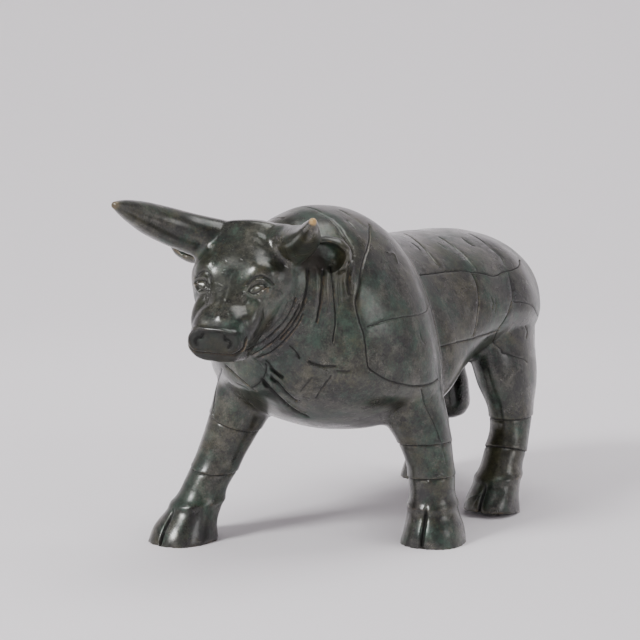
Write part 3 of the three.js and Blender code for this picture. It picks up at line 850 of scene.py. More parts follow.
@dataclass
class Carving:
    """Every line, lid and swell on the bull, as the photograph shows them on its left."""

    head: Head
    legs: Legs
    body: tuple[Line, ...] = (
        Line(Look.LEFT, ((-38, 198), (-68, 180), (-80, 164), (-85, 152), (-84, 136), (-84, 121),
                         (-82, 115), (-69, 107), (-49, 102), (-24, 103)), half=0.75, depth=0.95),
        Line(Look.LEFT, ((-82, 141), (-67, 144), (-34, 145), (-20, 148))),
        Line(Look.LEFT, ((-8, 165), (33, 166), (51, 164), (68, 160), (87, 162), (104, 163),
                         (118, 166)), half=0.75, depth=0.95),
        Line(Look.LEFT, ((-8, 121), (30, 122), (69, 123)), half=0.75, depth=0.9),
        Line(Look.LEFT, ((48, 164), (46, 154), (42, 144), (36, 132), (31, 124))),
        Line(Look.LEFT, ((87, 161), (83, 153), (80, 143)), half=0.5, depth=0.35),
        Line(Look.LEFT, ((79, 142), (70, 129), (68, 122), (79, 110), (80, 107))),
        Line(Look.LEFT, ((81, 142), (100, 139), (116, 131), (124, 128))),
        Line(Look.LEFT, ((80, 107), (90, 103), (100, 100), (104, 94))),
        Line(Look.BACK, ((6, 43), (25, 30), (39, 23), (46, 22))),
        Line(Look.BACK, ((22, 61), (36, 57), (48, 54), (54, 53))),
        Line(Look.BACK, ((24, 99), (42, 93), (53, 92), (57, 88)), half=0.6, depth=0.5),
    )
    # On the near side, the hump, neck, throat, chest and legs, as the photograph shows them.
    seen: tuple[Line, ...] = (
        Line(Look.PHOTO, ((319, 213), (328, 219), (336, 227), (342, 236), (348, 245), (354, 255)),
             half=0.7, depth=0.9),
        Line(Look.PHOTO, ((322, 213.5), (331, 219.5), (340, 228), (347, 238), (353, 248)),
             half=0.5, depth=0.5),
        Line(Look.PHOTO, ((340, 210), (348, 214.5), (357, 221), (365, 227))),
        Line(Look.PHOTO, ((291, 208), (301, 206.5), (311, 208), (321, 212)), half=0.6, depth=0.6),
        Line(Look.PHOTO, ((271, 219), (277, 217.5), (284, 218)), half=0.6, depth=0.6),
        Line(Look.PHOTO, ((347, 221), (351, 225), (355, 228.5)), half=0.5, depth=0.6),
        Line(Look.PHOTO, ((350, 221.5), (355.5, 227)), half=0.5, depth=-0.4),
        Line(Look.PHOTO, ((388, 253), (394, 254), (397.5, 263)), half=0.6, depth=-0.5),
        Line(Look.PHOTO, ((330, 266), (333, 280), (335, 295), (336, 310), (336, 325), (333, 342)),
             half=0.7, depth=1.0),
        Line(Look.PHOTO, ((338, 268), (339, 288), (338, 306)), half=0.5, depth=0.5),
        Line(Look.PHOTO, ((323, 270), (322, 288), (320, 305), (317, 322)), half=1.0, depth=1.2),
        Line(Look.PHOTO, ((316, 270), (316, 290), (313, 310)), half=2.6, depth=-1.3),
        Line(Look.PHOTO, ((327, 272), (328, 290), (328, 312)), half=1.8, depth=-0.7),
        Line(Look.PHOTO, ((308, 270), (307, 288), (302, 308), (293, 324), (281, 339)),
             half=1.2, depth=1.3),
        Line(Look.PHOTO, ((345, 264), (344, 280), (346, 296)), half=1.4, depth=-0.7),
        Line(Look.PHOTO, ((353, 262), (351, 276), (352, 290)), half=1.3, depth=-0.7),
        Line(Look.PHOTO, ((349, 262), (348, 278), (349, 294)), half=0.9, depth=0.8),
        Line(Look.PHOTO, ((296, 298), (290, 312), (279, 327), (263, 342), (246, 351)),
             half=0.9, depth=1.0),
        Line(Look.PHOTO, ((300, 304), (294, 317), (283, 332), (268, 346), (252, 355)),
             half=0.7, depth=0.9),
        Line(Look.PHOTO, ((303, 314), (297, 326), (286, 340), (272, 352), (258, 358)),
             half=0.9, depth=0.9),
        Line(Look.PHOTO, ((288, 302), (281, 316), (269, 330), (254, 341)), half=1.0, depth=0.5),
        Line(Look.PHOTO, ((292, 305), (285, 320), (273, 334), (257, 346)), half=1.2, depth=-0.7),
        Line(Look.PHOTO, ((299, 311), (290, 326), (277, 340), (262, 351)), half=1.1, depth=-0.6),
        Line(Look.PHOTO, ((226, 366), (232, 371), (240, 378.5), (249, 386), (256, 391)),
             half=0.75, depth=1.0),
        Line(Look.PHOTO, ((237, 383), (243, 386), (249, 390)), half=0.5, depth=0.5),
        Line(Look.PHOTO, ((252, 388), (258, 384), (263, 378), (266, 370), (266, 364)),
             half=0.8, depth=0.9),
        Line(Look.PHOTO, ((256, 359), (262, 367), (268, 375)), half=0.6, depth=0.5),
        Line(Look.PHOTO, ((267, 362), (274, 370), (282, 377)), half=1.2, depth=1.1),
        Line(Look.PHOTO, ((271, 377), (279, 385), (287, 394), (296, 401)), half=1.3, depth=1.2),
        Line(Look.PHOTO, ((262, 380), (270, 390), (281, 400), (293, 410), (307, 417)),
             half=1.7, depth=1.9),
        Line(Look.PHOTO, ((274, 373), (283, 381), (292, 391)), half=0.9, depth=-0.6),
        Line(Look.PHOTO, ((288, 402), (296, 408), (305, 413)), half=0.9, depth=-0.7),
        Line(Look.PHOTO, ((290, 346), (295, 351), (299, 357)), half=0.8, depth=0.8),
        Line(Look.PHOTO, ((309, 361), (316, 364), (324, 366), (336, 366)), half=0.8, depth=0.9),
        Line(Look.PHOTO, ((319, 368), (323, 370), (327, 372)), half=0.7, depth=-0.5),
        Line(Look.PHOTO, ((337, 371), (344, 371.5), (350, 371)), half=0.8, depth=0.8),
        Line(Look.PHOTO, ((312, 378), (307, 384), (301, 391)), half=1.1, depth=0.6),
        Line(Look.PHOTO, ((331, 376), (324, 386), (316, 398)), half=1.1, depth=0.7),
        Line(Look.PHOTO, ((421, 389), (424, 400), (430, 415), (436, 428), (441, 442))),
        Line(Look.PHOTO, ((442, 447), (444, 454), (446, 463)), half=0.5, depth=0.5),
        Line(Look.PHOTO, ((222, 369), (217, 385), (214.5, 400), (213, 416)), half=0.7, depth=0.7),
        Line(Look.PHOTO, ((491, 297), (493, 303), (492, 309)), half=0.6, depth=0.6),
        Line(Look.PHOTO, ((495, 299), (496, 306), (495, 312)), half=0.6, depth=0.6),
        Line(Look.PHOTO, ((492, 301), (496, 304)), half=0.5, depth=0.5),
        Line(Look.PHOTO, ((412, 243), (416, 246), (420, 250)), half=0.5, depth=0.5),
        Line(Look.PHOTO, ((438, 243), (442, 245), (447, 249)), half=0.5, depth=0.5),
        Line(Look.PHOTO, ((462, 238), (467, 242), (473, 246)), half=0.5, depth=0.5),
        Line(Look.PHOTO, ((420, 334), (422, 340), (425, 344)), half=0.5, depth=0.5),
        Line(Look.PHOTO, ((525, 326), (527, 332), (526, 338)), half=0.6, depth=0.6),
        Line(Look.PHOTO, ((483, 491), (478, 499), (473, 508)), half=0.7, depth=-0.5),
        Line(Look.PHOTO, ((468, 499), (474, 496), (481, 496)), half=0.6, depth=-0.4),
        Line(Look.PHOTO, ((450, 489), (454, 490), (456, 496)), half=0.5, depth=-0.4),
    )
    hidden: tuple[Line, ...] = (
        Line(Look.RIGHT, ((-38, 198), (-68, 180), (-80, 164), (-85, 152), (-84, 121), (-69, 107),
                          (-49, 102), (-24, 103))),
        Line(Look.RIGHT, ((-82, 141), (-60, 144), (-20, 150))),
        Line(Look.RIGHT, ((-8, 163), (33, 165), (68, 160), (104, 163), (122, 166))),
        Line(Look.RIGHT, ((-8, 120), (30, 121), (64, 124))),
        Line(Look.RIGHT, ((30, 165), (26, 144), (32, 122))),
        Line(Look.RIGHT, ((92, 162), (86, 142), (72, 124), (80, 106), (104, 92))),
        Line(Look.RIGHT, ((86, 142), (104, 139), (124, 130))),
        Line(Look.BACK, ((-6, 30), (-28, 26), (-46, 28))),
        Line(Look.BACK, ((-10, 74), (-34, 70), (-54, 76))),
        Line(Look.BACK, ((-10, 112), (-36, 104), (-54, 96))),
        Line(Look.BACK, ((-6, -52), (-24, -54), (-38, -56))),
        Line(Look.RUMP, ((14, 172), (24, 150), (30, 122), (34, 100))),
        Line(Look.RUMP, ((-16, 172), (-28, 150), (-36, 124), (-40, 104))),
        Line(Look.RUMP, ((24, 148), (40, 146), (54, 140))),
        Line(Look.RUMP, ((-28, 148), (-42, 146), (-54, 140))),
        Line(Look.BELLY, ((-30, 10), (-26, 40), (-22, 70), (-16, 92))),
        Line(Look.BELLY, ((30, 12), (26, 40), (24, 66), (18, 90))),
        Line(Look.BELLY, ((-28, 30), (0, 26), (28, 30))),
    )
    # On the face, paired on both sides: lids, corners, brow, bridge, nostrils and muzzle.
    face: tuple[Line, ...] = (
        Line(Look.FACE, ((11.6, 50), (13, 44.8), (16, 41.4), (20, 40.6), (24, 42.2)),
             half=0.85, depth=-0.95),
        Line(Look.FACE, ((11.6, 50), (15.5, 50.8), (19.6, 49), (24, 42.2)),
             half=0.8, depth=-0.8),
        Line(Look.FACE, ((13.2, 48.6), (14.4, 45.2), (17, 43.1), (20.2, 42.7), (22.4, 43.4)),
             half=0.55, depth=0.9),
        Line(Look.FACE, ((13.2, 48.6), (15.8, 49), (18.9, 47.4), (22.4, 43.4)),
             half=0.55, depth=0.8),
        Line(Look.FACE, ((11, 45), (13.6, 40.2), (18, 38), (24.5, 39.4)), half=0.8, depth=0.8),
        Line(Look.FACE, ((24, 42.4), (27, 41.2), (30, 41.4)), half=0.5, depth=0.6),
        Line(Look.FACE, ((10.8, 50.6), (8.6, 54)), half=0.5, depth=0.3),
        Line(Look.FACE, ((12, 51.6), (10.2, 56)), half=0.5, depth=0.3),
        Line(Look.FACE, ((13.6, 52.2), (12.6, 57)), half=0.5, depth=0.25),
        Line(Look.FACE, ((6.6, 79.6), (7.4, 81.4), (9.4, 81.6), (10.8, 83.2), (9.6, 85.4)),
             half=0.7, depth=1.3),
        Line(Look.FACE, ((13.4, 78.5), (15.4, 81), (15.8, 85)), half=0.9, depth=0.4),
    )
    crest: tuple[Line, ...] = (
        Line(Look.FACE, ((1.2, 40), (1.8, 48), (2, 58), (1, 68)), half=3.2, depth=-0.8),
        Line(Look.FACE, ((-13.5, 75.4), (-7, 76.4), (0, 77), (7, 77.4), (12.5, 77.6)),
             half=1.5, depth=-0.7),
    )
    # Folds of the jaw and neck on the right, in keeping with those that show on the left.
    jaw: tuple[Line, ...] = (
        Line(Look.CHEEK_RIGHT, ((22, -32), (40, -34), (56, -28), (68, -22)), half=0.9, depth=0.8),
        Line(Look.CHEEK_RIGHT, ((26, -22), (38, -26), (50, -24), (60, -19)), half=0.8, depth=0.5),
        Line(Look.RIGHT, ((-99, 178), (-100, 160), (-101, 142), (-104, 128)), half=0.8, depth=0.9),
        Line(Look.RIGHT, ((-108, 176), (-111, 160), (-113, 146)), half=1.0, depth=1.0),
        Line(Look.RIGHT, ((-104, 174), (-106, 158), (-107, 142)), half=2.2, depth=-0.9),
    )
    # On the face: out, down and out of it, then the reach each way and the height.
    planes: tuple[Swell, ...] = (
        Swell((10.5, 57, -1), (4.5, 4.5, 7), -1.5),
        Swell((11.5, 68.5, 0), (5, 6.5, 8), 1.1),
        Swell((13, 33, 1), (4.5, 7, 8), 1.0),
        Swell((27, 50, -8), (7, 14, 10), 0.8),
        Swell((25, 24, -4), (6, 6, 8), -1.0),
    )
    swells: tuple[Swell, ...] = (
        Swell((72, -50, 150), (30, 24, 34), 2.0),
        Swell((66, -40, 118), (26, 26, 20), 1.2),
        Swell((62, 104, 132), (24, 26, 28), 1.8),
        Swell((-66, 104, 132), (24, 26, 28), 1.8),
        Swell((-72, -50, 150), (30, 24, 34), 2.0),
        Swell((46, -92, 150), (20, 9, 40), -1.6),
        Swell((67, 20, 140), (20, 16, 26), -1.0),
        Swell((-67, 20, 140), (20, 16, 26), -1.0),
        Swell((40, 60, 178), (18, 30, 14), -0.9),
    )
    ridge: tuple[tuple[float, float], ...] = ((-14, 198), (-15, 176), (-15, 150), (-15, 124),
                                              (-13, 108), (-8, 92))
    mouth_down: float = 71
    mouth_face: float = -4.5
    mouth_reach: float = 150
    plate_top: tuple[float, float] = (77.5, 3.2)
    plate_low: tuple[float, float] = (88.5, -2.5)
    plate_half: float = 15.5
    roll_height: float = 24

    def mirrored(self, line: Line) -> Line:
        """The same line on the other side of the face."""
        flipped = tuple((-out, down) for out, down in line.points)
        return Line(line.look, flipped, line.half, line.depth)

    def lines(self) -> list[Line]:
        """All the lines, the shoulder ridges last."""
        ridges = [Line(look, self.ridge, half=1.5, depth=-1.0)
                  for look in (Look.LEFT, Look.RIGHT)]
        both = [one for line in self.face for one in (line, self.mirrored(line))]
        return [*self.body, *self.seen, *self.hidden, *both, *self.crest, *self.jaw, *ridges]

    def swelling(self, points: Array) -> Array:
        """How far each point rises: each swell falls off as a bell in its three directions."""
        lift = np.zeros(len(points))
        for swell in self.swells:
            away = (points - np.array(swell.centre)) / np.array(swell.reach)
            lift += swell.height * np.exp(-np.einsum("ij,ij->i", away, away))
        head = self.head
        axes = np.stack([head.left, head.down, head.face], axis=1)
        own = (points - np.array(head.poll, float)) @ axes
        for swell in self.planes:
            for side in (1, -1):
                centre = np.array(swell.centre) * np.array([side, 1, 1])
                away = (own - centre) / np.array(swell.reach)
                lift += swell.height * np.exp(-np.einsum("ij,ij->i", away, away))
        return lift

    def flatten_nose(self, points: Array) -> Array:
        """Press the front of the muzzle flat, to the plane of its plate.

        What stands out past the plane that falls from the plate's top to its foot goes back
        to it, within the plate's half width.
        """
        head = self.head
        own = points - np.array(head.poll, float)
        out, down, face = own @ head.left, own @ head.down, own @ head.face
        run = np.array(self.plate_low) - np.array(self.plate_top)
        away = np.array([-run[1], run[0]]) / np.hypot(*run)
        past = (down - self.plate_top[0]) * away[0] + (face - self.plate_top[1]) * away[1]
        along = ((down - self.plate_top[0]) * run[0] + (face - self.plate_top[1]) * run[1])
        share = along / (run @ run)
        within = smoothstep(self.plate_half + 2, self.plate_half - 1, np.abs(out))
        within = within * smoothstep(-0.06, 0.06, share) * smoothstep(1.5, 1.1, share)
        back = np.clip(past, 0, 5) * within
        way = away[0] * head.down + away[1] * head.face
        return points - back[:, None] * way

    def clefts(self, points: Array) -> Array:
        """How deep each point lies in the cleft of a hoof.

        A cleft is a blade that stands on the toe, square to the hoof, and leans back.
        """
        depth = np.zeros(len(points))
        for leg in self.legs.all():
            left, forward = heading_frame(leg.heading)
            away = points - leg.toe()
            across = np.abs(away @ left)
            back = away @ forward
            low = smoothstep(27, 17, points[:, 2]) * smoothstep(-16, -7, back)
            depth = np.maximum(depth, np.exp(-((across / 1.0) ** 2)) * low * (back < 8) * 2.6)
        return depth

    def bands(self, points: Array) -> Array:
        """How deep each point lies in the bands round the legs.

        A band is a tilted plane: a point's height over it gives the depth, as a bell, on the
        points that lie within the leg's girth.
        """
        depth = np.zeros(len(points))
        for leg in self.legs.all():
            left, forward = heading_frame(leg.heading)
            for height, tip, lean in leg.bands:
                away = points - leg.centre(height)
                over = away[:, 2] - tip * (away @ forward) - lean * (away @ left)
                inside = np.hypot(away[:, 0], away[:, 1]) < 34
                depth = np.maximum(depth, np.exp(-((over / 0.7) ** 2) * 1.6) * inside * 1.0)
        return depth

    def joints(self, points: Array) -> Array:
        """How far the skin swells over each band and at the top of each hoof.

        Over a band the leg puffs out like a sleeve, and falls off as a half bell. Round the top
        of the hoof runs a low roll, a bell in height.
        """
        lift = np.zeros(len(points))
        for leg in self.legs.all():
            left, forward = heading_frame(leg.heading)
            for height, tip, lean in leg.bands:
                away = points - leg.centre(height)
                over = away[:, 2] - tip * (away @ forward) - lean * (away @ left)
                inside = np.hypot(away[:, 0], away[:, 1]) < 34
                lift += np.where(over > 0, np.exp(-over / 5.0), 0) * inside * 0.7
            away = points - leg.centre(self.roll_height)
            over = away[:, 2] + 0.08 * (away @ forward)
            inside = (np.hypot(away[:, 0], away[:, 1]) < 30) * (points[:, 2] < 40)
            lift += np.exp(-((over / 2.4) ** 2)) * inside * 0.9
            lift -= np.exp(-(((over - 8) / 5) ** 2)) * inside * 0.5
        return lift

    def mouth(self, tree: BVHTree) -> Array:
        """The mouth line: a fan of looks round the muzzle, from a point inside it."""
        inside = self.head.on_face(0.0, self.mouth_down, self.mouth_face)
        angle = np.radians(np.linspace(-self.mouth_reach / 2, self.mouth_reach / 2, 60))
        ways = np.cos(angle)[:, None] * self.head.down + np.sin(angle)[:, None] * self.head.left
        found = [tree.ray_cast(Vector(inside), Vector(way))[0] for way in ways]
        return np.array([hit[:] for hit in found if hit is not None], float)


@dataclass
class Bull:
    """The whole casting, from its lofts to its finished mesh."""

    torso: Torso = field(default_factory=Torso)
    neck: Neck = field(default_factory=Neck)
    head: Head = field(default_factory=Head)
    legs: Legs = field(default_factory=Legs)
    hanging: Hanging = field(default_factory=Hanging)
    seed: int = 7
    coarse: float = 1.25
    most_triangles: int = 194_000
    fade_rounds: int = 8
    join_rounds: int = 70
    # The way toward the key lamp. The sides of carved lines that turn this way get a painted
    # highlight.
    key_lamp_way: tuple[float, float, float] = (-0.05, -0.75, 0.66)

    def __post_init__(self) -> None:
        """Hang the horns and ears on the head."""
        self.horns = Horns(self.head)
        self.ears = Ears(self.head)
        self.carving = Carving(self.head, self.legs)
        self.rng = np.random.default_rng(self.seed)

    def joined(self) -> bpy.types.Mesh:
        """One skin over every loft, as a grid of small squares."""
        plain = [*self.torso.shells(), *self.neck.shells(), *self.head.shells(),
                 *self.horns.shells(), *self.hanging.shells()]
        meshes = [mesh_of("plain", plain), *self.ears.meshes(), *self.legs.meshes()]
        things = [bpy.data.objects.new(mesh.name, mesh) for mesh in meshes]
        for thing in things:
            bpy.context.scene.collection.objects.link(thing)
        with bpy.context.temp_override(active_object=things[0], object=things[0],
                                       selected_editable_objects=things,
                                       selected_objects=things):
            bpy.ops.object.join()
        whole = things[0].data.copy()
        bpy.data.objects.remove(things[0])
        return worked(whole, {"kind": "REMESH", "mode": "VOXEL", "voxel_size": self.coarse})

    def ease_joins(self, skin: Skin) -> None:
        """Fill the sharp valleys where forms meet, and leave the rest.

        A point is in a valley where the mean of its neighbours lies outside the skin. The
        valley's mark spreads to the points round it and then fades.
        """
        rise = np.einsum("ij,ij->i", skin.neighbours(skin.points) - skin.points, skin.normals)
        valley = smoothstep(0.10, 0.30, rise)
        for _ in range(self.fade_rounds):
            valley = np.maximum(valley, skin.neighbours(valley) * 1.25)
        valley = np.clip(valley, 0, 1)
        step = np.abs(skin.points[:, 1] + 13) < 7
        keep = step & (skin.points[:, 2] > 84)
        skin.relax(np.where(keep, 0.05, 0.5 * valley), self.join_rounds)

    def undulate(self, points: Array) -> Array:
        """The slight unevenness of hand-worked wax: a sum of long, low waves."""
        ways = self.rng.normal(size=(24, 3))
        ways /= np.linalg.norm(ways, axis=1)[:, None]
        length = self.rng.uniform(14, 46, 24)
        phase = self.rng.uniform(0, 2 * math.pi, 24)
        waves = np.sin(points @ (ways * (2 * math.pi / length)[:, None]).T + phase)
        return (waves * (length / 46)).sum(axis=1) * 0.06

    def worked_skin(self) -> bpy.types.Mesh:
        """The fine skin with everything pressed into it, and its masks."""
        base = self.joined()
        skin = Skin.of(base)
        log.info("joined skin: %d points", len(skin.points))
        self.ease_joins(skin)
        skin.steady(3)
        skin.put(base)
        fine = worked(base, {"kind": "SUBSURF", "levels": 1, "render_levels": 1})
        skin = Skin.of(fine)
        log.info("fine skin: %d points", len(skin.points))
        lift = self.undulate(skin.points) + self.carving.swelling(skin.points)
        lift += self.carving.joints(skin.points)
        sole = smoothstep(1.0, 6.0, skin.points[:, 2])
        skin.points += skin.normals * (lift * sole)[:, None]
        skin.points = self.carving.flatten_nose(skin.points)
        skin.put(fine)
        skin = Skin.of(fine)
        smooth = Skin(skin.points.copy(), skin.edges, skin.normals)
        smooth.relax(0.5, 20)
        bend = np.einsum("ij,ij->i", skin.points - smooth.points, skin.normals)
        cut, swell = self.pressed(fine, skin)
        ground = smoothstep(0.2, 1.2, skin.points[:, 2])
        skin.points += skin.normals * ((swell - cut) * ground)[:, None]
        skin.put(fine)
        carved = Skin.of(fine)
        # Where the carving turns the skin toward the key lamp, a painted highlight is marked,
        # which the bronze shows in tan.
        turned = (carved.normals - skin.normals) @ np.array(self.key_lamp_way)
        self.mark(fine, "groove", smoothstep(0.2, 0.75, cut))
        self.mark(fine, "painted_highlight", smoothstep(0.22, 0.65, turned))
        self.mark(fine, "edge", np.clip(bend / 0.35, -1, 1) * 0.5 + 0.5)
        self.mark(fine, "nose", self.nose_mask(carved))
        self.mark(fine, "tip", self.tip_mask(carved))
        self.mark(fine, "cup", self.cup_mask(carved))
        return fine

    def pressed(self, mesh: bpy.types.Mesh, skin: Skin) -> tuple[Array, Array]:
        """How deep the chasing goes at each point, and how high its raised lines stand.

        Args:
            mesh: the fine skin, all of squares.
            skin: the same skin's points.

        Returns:
            The depth of the grooves, and the height of the raised lines.
        """
        squares = np.empty(len(mesh.polygons) * 4, np.int32)
        mesh.polygons.foreach_get("vertices", squares)
        tree = BVHTree.FromPolygons(skin.points.tolist(), squares.reshape(-1, 4).tolist())
        eye = np.array(Viewpoint().place) / METRES - self.centring()
        chisel = Chisel(tree, self.head, self.rng, eye)
        cut = np.zeros(len(skin.points))
        swell = np.zeros(len(skin.points))
        lines = self.carving.lines()
        missed = [line for line in lines if not chisel.press(skin, line, cut, swell)]
        log.info("lines: %d, of which %d found no skin", len(lines), len(missed))
        mouth = self.carving.mouth(tree)
        index, away = chisel.near(skin.points, mouth, 3.0)
        cut[index] = np.maximum(cut[index], np.exp(-((away / 0.8) ** 2)) * 1.3)
        cut = np.maximum(cut, self.carving.bands(skin.points))
        return np.maximum(cut, self.carving.clefts(skin.points)), swell

    def cup_mask(self, skin: Skin) -> Array:
        """Where the hollow of each ear is: close to the middle line that its cup was cut on."""
        cup = np.zeros(len(skin.points))
        for side in (1, -1):
            lift = self.ears.right_lift if side < 0 else 0
            for _, out, front, up, wide, _ in self.ears.cup.values[1:4]:
                middle = self.head.from_poll(out * side, front + 2, up + lift)
                away = np.linalg.norm(skin.points - middle, axis=1)
                cup = np.maximum(cup, smoothstep(wide + 1.5, wide - 1.5, away))
        return cup

    def nose_mask(self, skin: Skin) -> Array:
        """Where the matte plate of the muzzle is: low on the face and looking forward."""
        away = skin.points - np.array(self.head.poll, float)
        down, out = away @ self.head.down, away @ self.head.left
        facing = skin.normals @ (self.head.face + self.head.down)
        plate = smoothstep(77, 78.5, down) * smoothstep(0.7, 1.0, facing)
        return plate * smoothstep(17, 15, np.abs(out)) * smoothstep(90.5, 89, down)

    def tip_mask(self, skin: Skin) -> Array:
        """How near each point is to a horn tip, where the patina is rubbed through."""
        near = [np.linalg.norm(skin.points - self.horns.tip(side), axis=1) for side in (1, -1)]
        return smoothstep(4.0, 2.0, near[0]) + 0.15 * smoothstep(5.0, 2.0, near[1])

    @staticmethod
    def mark(mesh: bpy.types.Mesh, name: str, values: Array) -> None:
        """Keep one value for each point on the mesh."""
        layer = mesh.attributes.new(name, "FLOAT", "POINT")
        layer.data.foreach_set("value", values.astype(np.float32))

    def centring(self) -> Array:
        """The level shift that sets the middle of the bull's outline over the origin."""
        shells = [*self.torso.shells(), *self.head.shells(), *self.horns.shells(),
                  *self.hanging.shells(), *(leg.shell() for leg in self.legs.all())]
        points = np.concatenate([shell.rings.reshape(-1, 3) for shell in shells])
        middle = (points.min(axis=0) + points.max(axis=0)) / 2
        return np.array([-middle[0], -middle[1], 0.0])

    def cast(self) -> bpy.types.Object:
        """The finished bull: thinned, centred and in metres."""
        fine = self.worked_skin()
        ratio = self.most_triangles / (2 * len(fine.polygons))
        mesh = worked(fine, {"kind": "DECIMATE", "ratio": ratio})
        skin = Skin.of(mesh)
        skin.points = (skin.points + self.centring()) * METRES
        skin.put(mesh)
        mesh.name = "bull_cast"
        mesh.polygons.foreach_set("use_smooth", np.ones(len(mesh.polygons), bool))
        bull = bpy.data.objects.new("bull_cast", mesh)
        bpy.context.scene.collection.objects.link(bull)
        log.info("bull: %d faces", len(mesh.polygons))
        return bull


Colour = tuple[float, float, float]


def linear(shade: Colour) -> tuple[float, float, float, float]:
    """A colour as seen on a screen, from 0 to 1, as the light it stands for."""
    lit = [c / 12.92 if c <= 0.04045 else ((c + 0.055) / 1.055) ** 2.4 for c in shade]
    return (lit[0], lit[1], lit[2], 1.0)


class Bench:
    """Sets and joins shader nodes in one tree."""

    def __init__(self, tree: bpy.types.NodeTree) -> None:
        """Start work on a tree."""
        self.tree = tree

    def node(self, kind: str, inputs: dict | None = None, **settings) -> bpy.types.Node:
        """Add a node.

        Args:
            kind: the node's type, without its prefix.
            inputs: what each named or numbered input is joined to or set to.
            settings: the node's own settings.

        Returns:
            The node.
        """
        made = self.tree.nodes.new("ShaderNode" + kind)
        for name, value in settings.items():
            setattr(made, name, value)
        for name, value in (inputs or {}).items():
            if isinstance(value, bpy.types.NodeSocket):
                self.tree.links.new(value, made.inputs[name])
            else:
                made.inputs[name].default_value = value
        return made

    def maths(self, operation: str, a, b=0.0) -> bpy.types.NodeSocket:
        """Work out one number from two."""
        return self.node("Math", {0: a, 1: b}, operation=operation).outputs[0]

    def noise(self, vector, scale: float, detail: float = 4.0, rough: float = 0.55,
              twist: float = 0.0) -> bpy.types.NodeSocket:
        """A cloudy pattern from 0 to 1."""
        inputs = {"Vector": vector, "Scale": scale, "Detail": detail, "Roughness": rough,
                  "Distortion": twist}
        return self.node("TexNoise", inputs).outputs["Fac"]

    def between(self, value, low: float, high: float) -> bpy.types.NodeSocket:
        """Rise smoothly from 0 at low to 1 at high."""
        inputs = {"Value": value, "From Min": low, "From Max": high}
        made = self.node("MapRange", inputs, interpolation_type="SMOOTHSTEP")
        return made.outputs["Result"]

    def mix(self, share, a, b) -> bpy.types.NodeSocket:
        """Blend colour a into colour b."""
        made = self.node("Mix", {0: share}, data_type="RGBA")
        for socket, value in ((made.inputs[6], a), (made.inputs[7], b)):
            if isinstance(value, bpy.types.NodeSocket):
                self.tree.links.new(value, socket)
            else:
                socket.default_value = value
        return made.outputs[2]

    def mask(self, name: str) -> bpy.types.NodeSocket:
        """One of the masks that the mesh carries."""
        made = self.node("Attribute", attribute_name=name, attribute_type="GEOMETRY")
        return made.outputs["Fac"]


def cloud_group() -> bpy.types.NodeTree:
    """A group that lays ragged patches over a surface, as patina and dust do.

    Its mask is a broad noise, broken by a finer one, cut off softly where it falls below what
    the cover asks for.
    """
    group = bpy.data.node_groups.new("ragged patches", "ShaderNodeTree")
    for name, kind in (("Vector", "NodeSocketVector"), ("Scale", "NodeSocketFloat"),
                       ("Cover", "NodeSocketFloat"), ("Softness", "NodeSocketFloat"),
                       ("Break", "NodeSocketFloat")):
        group.interface.new_socket(name, in_out="INPUT", socket_type=kind)
    group.interface.new_socket("Mask", in_out="OUTPUT", socket_type="NodeSocketFloat")
    bench = Bench(group)
    given = group.nodes.new("NodeGroupInput")
    shown = group.nodes.new("NodeGroupOutput")
    vector, scale, cover, soft, broken = (given.outputs[n] for n in range(5))
    broad = bench.noise(vector, scale, 4.0, 0.55, 0.8)
    finer = bench.noise(vector, bench.maths("MULTIPLY", scale, 5.0), 5.0, 0.65)
    speck = bench.noise(vector, bench.maths("MULTIPLY", scale, 26.0), 3.0, 0.7)
    ragged = bench.maths("ADD", bench.maths("SUBTRACT", finer, 0.5),
                         bench.maths("MULTIPLY", bench.maths("SUBTRACT", speck, 0.5), 0.8))
    height = bench.maths("ADD", broad, bench.maths("MULTIPLY", ragged, broken))
    floor = bench.maths("SUBTRACT", 1.0, cover)
    low = bench.maths("SUBTRACT", floor, soft)
    high = bench.maths("ADD", floor, soft)
    inputs = {"Value": height, "From Min": low, "From Max": high}
    cut = bench.node("MapRange", inputs, interpolation_type="SMOOTHSTEP")
    group.links.new(cut.outputs["Result"], shown.inputs["Mask"])
    return group


